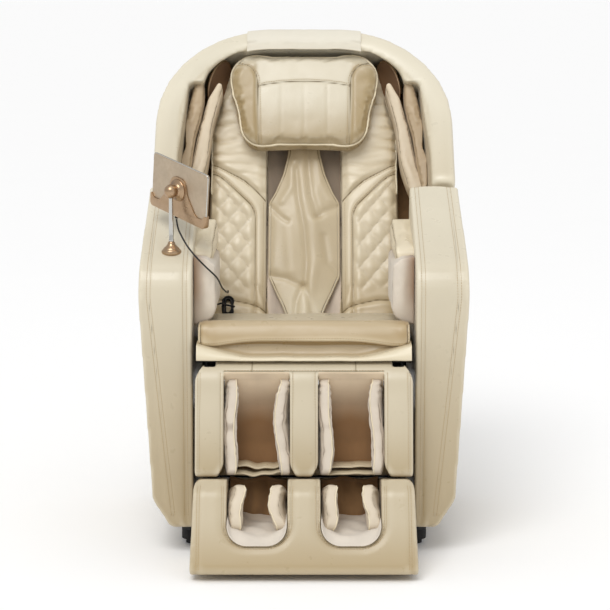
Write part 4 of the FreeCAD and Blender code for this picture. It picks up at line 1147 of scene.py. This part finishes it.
CALF_SIDE = [(CALF_FRONT, CALF_LOW, 16), (-CALF_BACK, CALF_LOW, 4), (-CALF_BACK, 0), (0, 0)]
calf = prism("x", round_top(CALF_FRONT) + CALF_SIDE, -CALF_HALF, CALF_HALF)
cuts = []
LUG_SLOT = [(36, -60), (-70, -60), (-70, 100), (-20, 100), (-20, 30), (36, 30)]
LINER_LINE = [(60, -36), (44, -28), (26, -14), (0, 12), (-24, 44), (-42, 84), (-50, 130), (-50, CALF_LOW + 10),
              (60, CALF_LOW + 10)]
for side in (-1, 1):
    low, high = to_side(side, WELL_MID - WELL_HALF, WELL_MID + WELL_HALF)
    deep = prism("x", LINER_LINE, low - 16, high + 16)
    face = prism("y", [(low, -26, 12), (high, -26, 12), (high, 176), (high + 1.5, 186), (high + 5, 195),
                       (high + 10, 203), (high + 15, 211), (high + 15, CALF_LOW + 20),
                       (low - 15, CALF_LOW + 20), (low - 15, 211), (low - 10, 203), (low - 5, 195), (low - 1.5, 186),
                       (low, 176)], -60, 70)
    cuts.append(bool_all(deep, "INTERSECT", face))
    inside = to_side(side, 190, 239)
    cuts.append(prism("x", [(-50, 0), (43, 0), (43, 202), (-50, 202)], *inside))
    cuts.append(prism("x", LUG_SLOT, *to_side(side, 202, 228)))
    cuts.append(drum((0, 0), 43, *inside))
cuts.append(prism("x", [(-70, 0), (43, 0), (43, 202), (-50, 202), (-50, 130), (-70, 130)], -24, 24))
cuts.append(drum((0, 0), 43, -24, 24))
cuts.append(drum((0, 0), 27, -239, 239))
bool_all(calf, "DIFFERENCE", *cuts)
CALF_FACE = [(250, 214, 18), (250, 8, 60), (242, -30, 60), (216, -58, 12)]
bool_all(calf, "INTERSECT", prism("y", both(CALF_FACE), -70, 70))
soften(calf, 4, 5)
p = points_of(calf)
n = normals_of(calf)
outside = ease(np.maximum(n[:, 1], -n[:, 2]), 0.3, 0.8) * (p[:, 1] > 10)
ax = np.abs(p[:, 0])
column = np.where(ax < 32, ax / 32, np.clip(np.abs((ax - 214.5) / 32.5), 0, 1))
plump = np.sqrt(np.clip(1 - column ** 2, 0, 1)) * ease(p[:, 2], 8, 70)
push(calf, outside * (5.0 * plump - 1.0))
p = points_of(calf)
bar_seam = np.where((p[:, 1] > 20) & (p[:, 2] < 0) & (ax < 184), np.abs(p[:, 2] + 29), FAR)
upright = np.where((p[:, 2] < -27) & (p[:, 1] > 0), np.abs(ax - 117), FAR)
edge_seam = np.full(len(p), FAR)
for x0 in (25, 189, 239):
    edge_seam = np.minimum(edge_seam, np.where((p[:, 1] > 30) & (p[:, 2] > -28), np.abs(ax - x0), FAR))
push(calf, -1.0 * dip(edge_seam, 3.5) - 0.9 * dip(bar_seam, 3.5) - 0.8 * dip(upright, 3))
calf_line = [(CALF_FRONT * math.cos(a), -CALF_FRONT * math.sin(a)) for a in np.radians(np.linspace(30, 0, 6))]
calf_line += [(CALF_FRONT, a) for a in np.linspace(8, 200, 20)]
calf_threads = [sew(calf, [(side * x0, f, a) for f, a in calf_line])
                for side in (-1, 1) for x0 in (25, 189, 235, 241)]
calf_threads.append(sew(calf, [(x0, 45, -31.5) for x0 in np.linspace(-182, 182, 48)]))
calf_seam = np.minimum(np.minimum(edge_seam + 0.8, bar_seam + 0.6), upright)
calf_shade = 0.38 + 0.42 * ease(p[:, 2], 60, 220) + 0.3 * (1 - ease(n[:, 1], 0.2, 0.7)) * (p[:, 2] > -20)
finish(calf, "calf_cover", LEG, CREAM, "legrest", ("calf_shell",), seam=calf_seam,
       shade=np.clip(calf_shade, 0, 1))
threads("calf_stitching", calf_threads, LEG, "legrest")

# liners: a smooth cloth that runs from under the top bar down the back of each well
LINER_PATH = spaced(track([(49, -27), (27, -12.5, 20), (-22, 45, 60), (-47, 132, 60), (-47, 196)]), 4)


def liner_spot(side, at, t):
    f, a = at
    hollow = 5 * (t * t) + 1.3 * math.sin(7 * t + a / 40 + side) * ease(a, 20, 150)
    return side * WELL_MID + 74 * t, f + hollow * 0.9, a


liner = in_both_wells(LINER_PATH, np.linspace(-1, 1, 41), liner_spot)
shaped(liner, ("SOLIDIFY", {"thickness": 0.002}))
p = points_of(liner)
t = np.abs(np.abs(p[:, 0]) - WELL_MID) / 75
liner_shade = 0.1 + 0.85 * ease(p[:, 2], -30, 100) + 0.1 * (1 - t)
finish(liner, "calf_well_cloth", LEG, LINER, "legrest", ("calf_linings",), "taupe_fabric",
       shade=np.clip(liner_shade, 0, 1))

# sills: folded cloth lips along the bottom of each well


def sill_spot(side, level, out, seed):
    def spot(across, q):
        rise = 3.2 * math.sin(3.1 * across + seed + side) + 1.6 * math.sin(9 * across + seed)
        rise *= 1 if side < 0 else 0.3
        reach = 44 + out + 4 * (1 - across * across)
        return side * WELL_MID + 61 * across, -44 + reach * math.sin(q / 2), level + rise + 5 * (1 - math.cos(q))
    return spot


sill = unite(*[shaped(surface(np.linspace(-1, 1, 49), np.linspace(0, math.pi, 9), sill_spot(side, level, out, seed)),
                      ("SOLIDIFY", {"thickness": 0.004}), ("SUBSURF", {"levels": 1}))
               for side in (-1, 1) for level, out, seed in ((180, -2, 71), (196, 5, 72))])
p = points_of(sill)
finish(sill, "calf_sills", LEG, SHADOW, "legrest", slot="taupe_fabric",
       shade=0.25 + 0.5 * (1 - ease(p[:, 1], -40, 0)))


def side_flap(outline, x_wall, inward, thick, lean, tip, twist, seed, cap, beads):
    """A soft airbag against a well's wall, its front edge leaning into the well; outline is (forward, down)."""
    low, high = sorted((x_wall, x_wall + inward * thick))
    flap = prism("x", outline, low + 2, high - 2)
    plump_up(flap, 3.5, 6, cap)
    f_low, f_high = min(q[0] for q in outline), max(q[0] for q in outline)
    a_low, a_high = min(q[1] for q in outline), max(q[1] for q in outline)

    def lean_in(f, a):
        forward = np.clip((f - f_low) / (f_high - f_low), 0, 1)
        down = (a - a_low) / (a_high - a_low)
        return forward, inward * forward ** 1.5 * (lean * np.sin(math.pi * np.clip(down * 0.9 + 0.08, 0, 1)) ** 0.8
                                                   + tip * (1 - down) + twist * np.sin(TURN * down + seed))

    p = points_of(flap)
    forward, shift = lean_in(p[:, 1], p[:, 2])
    gather = (1 - ease((p[:, 2] - a_low) / (a_high - a_low), 0.0, 0.3))
    soft = (0.3, 0.7, 1)
    p[:, 0] += shift + thick * (0.08 * waves(p, 30, seed, soft) + 0.06 * waves(p, 13, seed + 1, soft))
    p[:, 0] += inward * gather * forward * 2.2 * np.sin(p[:, 2] / 2.6 + seed)
    p[:, 1] += 1.8 * waves(p, 28, seed + 2, (0.2, 0.5, 1)) * forward
    set_points(flap, p)
    ring = np.abs(near(p[:, 1:], track(list(outline) + [outline[0][:2]], 14)) - 6) + 0.8
    edge = [q for q in spaced(rounded(list(outline)), 7) if q[0] > f_low + 0.45 * (f_high - f_low)]
    path = []
    for f, a in edge:
        _, shift = lean_in(np.array(f), np.array(a))
        path.append((x_wall + inward * (thick - 3.5) + float(shift), f, a))
    found = [q for q, _ in on_surface(flap, path, 0.2)]
    if len(found) > 3:
        beads.append(sweep(found, 1.5, 6))
    return flap, ring


def airbags(name, outline, mid, half, thick, lean, tip, twist, cap, nodes, material, slot, dark):
    """The four flaps of a pair of wells as one piece, and their piping."""
    flaps, rings, beads = [], [], []
    for number, (side, wall) in enumerate(((-1, -1), (-1, 1), (1, -1), (1, 1))):
        x_wall = side * mid + wall * half
        way = 1 if number % 2 else -1
        flap, ring = side_flap(outline, x_wall, -wall, thick, lean, tip, twist * way, 80 + 7 * number, cap, beads)
        flaps.append(flap)
        rings.append(ring)
    piece = unite(*flaps)
    p = points_of(piece)
    # painted shade: darker towards the back of the well, by the dark amount
    shade = dark * (1 - ease(p[:, 1], np.min(p[:, 1]) + 8, np.max(p[:, 1]) - 18))
    body = "legrest" if "calf" in name else "footrest"
    finish(piece, name, LEG, material, body, nodes, slot, seam=np.concatenate(rings),
           shade=np.clip(shade + 0.1, 0, 1))
    if beads:
        bead = unite(*beads)
        finish(bead, name + "_piping", LEG, PIPING, body, slot=slot, shade=0.15)


airbags("calf_airbag_flaps", [(36, -14, 8), (47, 20, 30), (46, 204, 14), (26, 207, 8), (-36, 190, 10),
                              (-10, 30, 20), (16, -12, 6)],
        WELL_MID, WELL_HALF, 25, 9, 0, 5.5, 4, ("calf_airbags",), BLUSH, "blush_fabric", 0.6)

# ---------------------------------------------------------------- foot section
FOOT_HALF, FOOT_MID, FOOT_WELL = 256, 105, 68
foot = prism("x", [(-75, 214), (66, 214, 24), (96, 244, 30), (137, 429, 16), (-75, 384, 12)], -FOOT_HALF, FOOT_HALF)
cuts = []
for side in (-1, 1):
    low, high = to_side(side, FOOT_MID - FOOT_WELL, FOOT_MID + FOOT_WELL)
    well = prism("y", [(low, 200), (high, 200), (high, 360, 46), (low, 360, 46)], -62, 200)
    slope = prism("x", [(-62, 200), (160, 200), (160, 361.5), (128, 354), (-62, 309)], low - 5, high + 5)
    cuts.append(bool_all(well, "INTERSECT", slope))
cuts.append(drum((-8, 358), 20, -178, 178))
bool_all(foot, "DIFFERENCE", *cuts)
FOOT_FRONT = [(-247, 210, 24), (247, 210, 24), (250, 300, 60), (255, 434, 18), (-255, 434, 18), (-250, 300, 60)]
ends = prism("y", FOOT_FRONT, -80, 160)
bool_all(foot, "INTERSECT", ends)
soften(foot, 4.5, 5)
p = points_of(foot)
n = normals_of(foot)
ax = np.abs(p[:, 0])


def foot_well(grow, low):
    """The U round a foot well's mouth, that far outside it."""
    near_x, far_x = FOOT_MID - FOOT_WELL - grow, FOOT_MID + FOOT_WELL + grow
    return track([(near_x, low), (near_x, 356 + grow, 46 + grow), (far_x, 356 + grow, 46 + grow), (far_x, low)])


WELL_EDGE = foot_well(0, 205)
well_gap = near(np.stack((ax, p[:, 2]), axis=1), WELL_EDGE)
outside = ease(n[:, 1] + 0.3 * np.maximum(-n[:, 2], 0), 0.35, 0.8) * (p[:, 1] > 40)
edge_gap = np.minimum(well_gap, 247 + 0.036 * (p[:, 2] - 210) - ax)
push(foot, outside * 3.6 * ease(edge_gap, 2, 26) - 0.6 * outside)
p = points_of(foot)
u_seam = np.where(outside > 0.3, np.abs(well_gap - 7), FAR)
end_seam = np.where((p[:, 1] > 40), np.abs(ax - 239), FAR)
push(foot, -1.0 * dip(np.minimum(u_seam, end_seam), 3.5))
foot_shade = 0.56 + 0.35 * ease(p[:, 2], 290, 420) + 0.35 * (1 - outside) * (p[:, 2] < 350)
foot_threads = []


def foot_face(a):
    """How far forward the foot section's front face is, that far down."""
    return float(np.interp(a, (214, 222, 244, 429), (66, 84, 96, 137)))


for side in (-1, 1):
    for grow in (5, 9.5):
        line = spaced(foot_well(grow, 222), 10)
        foot_threads.append(sew(foot, [(side * x, foot_face(a) + 3, a) for x, a in line]))
    for x0 in (234, 240):
        foot_threads.append(sew(foot, [(side * x0, foot_face(a) + 3, a) for a in np.linspace(222, 414, 25)]))
finish(foot, "foot_cover", LEG, CREAM, "footrest", ("foot_shell",),
       seam=np.minimum(u_seam, end_seam) + 0.8, shade=np.clip(foot_shade, 0, 1))
threads("foot_stitching", foot_threads, LEG, "footrest")
rods = unite(*[sweep([(side * 215, -36, 108 + k * 11) for k in range(11)], 8, 20) for side in (-1, 1)])
finish(rods, "foot_slide_rods", LEG, STEEL, "footrest")

# liners at the back and the soft soles


def foot_back_spot(side, a, t):
    fold = 10 * math.sin(3.4 * t + 0.5 * math.sin(a / 24) + side) ** 2 + 1.6 * math.sin(9 * t + a / 30)
    return side * FOOT_MID + 66 * t, -58 + fold + 12 * abs(t) ** 4 + 4 * (a < 220), a - 4 * math.cos(5 * t + side)


def sole_spot(side, f, t):
    lip = ease(f, 104, 127)
    off = abs(t) * FOOT_WELL
    rise = 46 - math.sqrt(46 ** 2 - max(0, off - 22) ** 2) if off < 67.9 else 45
    puff = 8 + 2.6 * math.sin(f / 21 + 3 * t + side) + 1.5 * math.sin(f / 9 - 5 * t)
    puff = puff * (1 - ease(abs(t), 0.65, 1)) + 1
    return side * FOOT_MID + FOOT_WELL * t, f, 308 + 0.2388 * (f + 62) - rise - puff * (1 - lip) + 8 * lip


for name, downs, count, spot, paint, slot, nodes in (
        ("foot_back_cloth", np.linspace(214, 306, 24), 61, foot_back_spot, BROWN, "brown_fabric", ("foot_linings",)),
        ("foot_sole_cloth", np.linspace(-56, 127, 44), 41, sole_spot, SOLE, "blush_fabric", ())):
    piece = shaped(in_both_wells(downs, np.linspace(-1, 1, count), spot),
                   ("SOLIDIFY", {"thickness": 0.003}), ("SUBSURF", {"levels": 1}))
    p = points_of(piece)
    # painted shade: the back cloth darker near its top under the shell, the soles darker towards the back
    dark = 0.3 * (1 - ease(p[:, 2], 215, 240)) if nodes else 0.6 * (1 - ease(p[:, 1], -50, 50))
    finish(piece, name, LEG, paint, "footrest", nodes, slot, shade=dark)
airbags("foot_airbag_flaps", [(80, 226, 16), (100, 262, 40), (108, 318, 18), (84, 332, 10), (40, 318, 10),
                              (-30, 294, 10), (-30, 236, 10)],
        FOOT_MID, FOOT_WELL, 29, 4, 17, 5, 4, ("foot_airbags",), BAG, "blush_fabric", 0.6)

# ---------------------------------------------------------------- tablet stand and screen
STAND = (-306, 80)
bell = lathe([(2, 690), (20, 692), (23, 696), (23, 701), (21.2, 704), (19.4, 704.6), (19, 706), (17.4, 708.5),
              (13, 712), (9.5, 716), (8, 720), (7.6, 722), (6.2, 723), (2, 723)], STAND)
finish(bell, "stand_bell", BASE, COPPER, "base", ("stand_base",))
stalk = lathe([(5.6, 723), (6.1, 724), (6.1, 727), (5.2, 729), (5.8, 745), (5.2, 790), (4.8, 820), (5.0, 822),
               (5.0, 825)], STAND, 28)
finish(stalk, "stand_stem", BASE, CHROME, "tablet_stand", ("stand_stalk",))
ball = lathe([(16 * math.sin(a), 839 - 16 * math.cos(a)) for a in np.linspace(0.12, math.pi - 0.12, 24)], STAND, 32)
finish(ball, "stand_ball", BASE, COPPER, "tablet_stand")

TABLET = (Matrix.Translation(BASE @ (Vector((STAND[0], STAND[1], 839)) * MM))
          @ Matrix.Rotation(math.radians(-50), 4, "Z")
          @ Matrix.Rotation(math.radians(5), 4, "X") @ Matrix.Rotation(math.radians(12), 4, "Y"))
LONG, HIGH = 102.5, 62.5
BORDER = [(-LONG, -HIGH, 9), (LONG, -HIGH, 9), (LONG, HIGH, 9), (-LONG, HIGH, 9)]


def crisp(obj, width):
    """Rounds hard edges by that many millimetres."""
    return shaped(obj, ("BEVEL", {"width": width * MM, "segments": 3, "limit_method": "ANGLE", "angle_limit": SHARP}))


case = crisp(prism("y", BORDER, 23.2, 31.6), 2.0)
finish(case, "tablet_case", TABLET, CHAMPAGNE, "tablet_unit", ("tablet",))
rim = rounded([(s * (LONG + 0.3), t * (HIGH + 0.3), 9) for s, t in ((-1, -1), (1, -1), (1, 1), (-1, 1))])
rim = spaced(rim + [(-LONG + 9, -HIGH - 0.3)], 6)
finish(sweep([(x, 25.6, z) for x, z in rim], 1.5, 8, True), "tablet_edge", TABLET, CHROME, "tablet_unit")
screen = crisp(prism("y", [(x * 0.965, z * 0.945, 6) for x, z, _ in BORDER], 31.4, 32.6), 0.4)
finish(screen, "tablet_screen", TABLET, GLASS, "tablet_unit", slot="black_plastic")
WAVE = [(104.5, -32, 2), (92, -44, 12), (70, -45, 20), (36, -6, 30), (25, 30, 24)]
cradle = prism("y", [(-104.5, -65.5, 10), (104.5, -65.5, 10)] + both(WAVE), 20, 33)
bool_all(cradle, "DIFFERENCE", prism("y", BORDER, 23, 40))
hub = lathe([(2, 9), (14, 9), (16, 10.5), (18, 13), (18.4, 14.2), (21.4, 14.6), (22, 16), (25, 16.6), (26, 18.4),
             (26, 20.4), (2, 20.4)], (0, 0), 48)
set_points(hub, points_of(hub)[:, (0, 2, 1)])
hub.data.flip_normals()
finish(unite(crisp(cradle, 1.0), hub), "tablet_holder", TABLET, COPPER, "tablet_unit", ("tablet_cradle",))
finish(sweep([(-8, 26, -63), (-8, 26, -68), (-8, 26, -71.5)], 4, 16), "cable_gland", TABLET, RUBBER, "tablet_unit",
       slot="black_rubber")

# ---------------------------------------------------------------- CAD parts that stay
BY_SLOT = {plain_name(paint): paint for paint in (
    FRAME, RUBBER, BLACK, STEEL, SHELL, ROLLER, COPPER, CHAMPAGNE, CHROME, TAUPE, CREAM, PALE, SHADOW, BLUSH, BROWN,
    SPEAKER)}
for entry in frame["record"]["subparts"]:
    node = NODES[entry["node"]]
    paint = BY_SLOT[entry["material_slot"]]
    for holder in node.material_slots:
        holder.material = paint
    if not node.material_slots:
        node.data.materials.append(paint)
    if paint in (FRAME, BLACK, SHELL, COPPER, CHAMPAGNE, RUBBER):
        edge = node.modifiers.new("edge", "BEVEL")
        edge.width = 0.0012
        edge.segments = 2
        edge.limit_method = "ANGLE"
        edge.angle_limit = SHARP


# ---------------------------------------------------------------- stage
FLOOR_ENDS = (-500000, 500000)
floor = surface(FLOOR_ENDS, FLOOR_ENDS, lambda y, x: (x, y, 0))
floor.name = "floor"
FLOOR = Paint("floor", roughness=0.9, specular=0.1)
FLOOR.colour(FLOOR.mix(FLOOR.noise(2), tone(255, 255, 255), tone(254, 254, 254)))
floor.data.materials.append(FLOOR.material)

world = bpy.data.worlds.new("studio")
world.use_nodes = True
world.node_tree.nodes["Background"].inputs["Color"].default_value = (1, 1, 1, 1)
world.node_tree.nodes["Background"].inputs["Strength"].default_value = 0.65
scene.world = world
for name, spot, aim, size, power in (
        ("key_light", (-1.4, -2.6, 4.2), (0, 0, 0.7), 2.4, 12),
        ("fill_light", (2.6, -3.2, 2.4), (0, 0, 0.6), 2.6, 5),
        ("top_light", (0.2, 0.3, 4.4), (0, 0, 0.8), 2.2, 5)):
    data = bpy.data.lights.new(name, "AREA")
    data.shape = "DISK"
    data.size = size
    data.energy = power
    lamp = bpy.data.objects.new(name, data)
    lamp.location = spot
    lamp.rotation_euler = (Vector(aim) - Vector(spot)).to_track_quat("-Z", "Y").to_euler()
    scene.collection.objects.link(lamp)
sun = bpy.data.lights.new("sky_light", "SUN")
sun.energy = 1.3
sun.angle = math.radians(34)
lamp = bpy.data.objects.new("sky_light", sun)
lamp.rotation_euler = Vector((0.22, 0.72, -1.0)).to_track_quat("-Z", "Y").to_euler()
scene.collection.objects.link(lamp)
scene.view_settings.view_transform = "Standard"
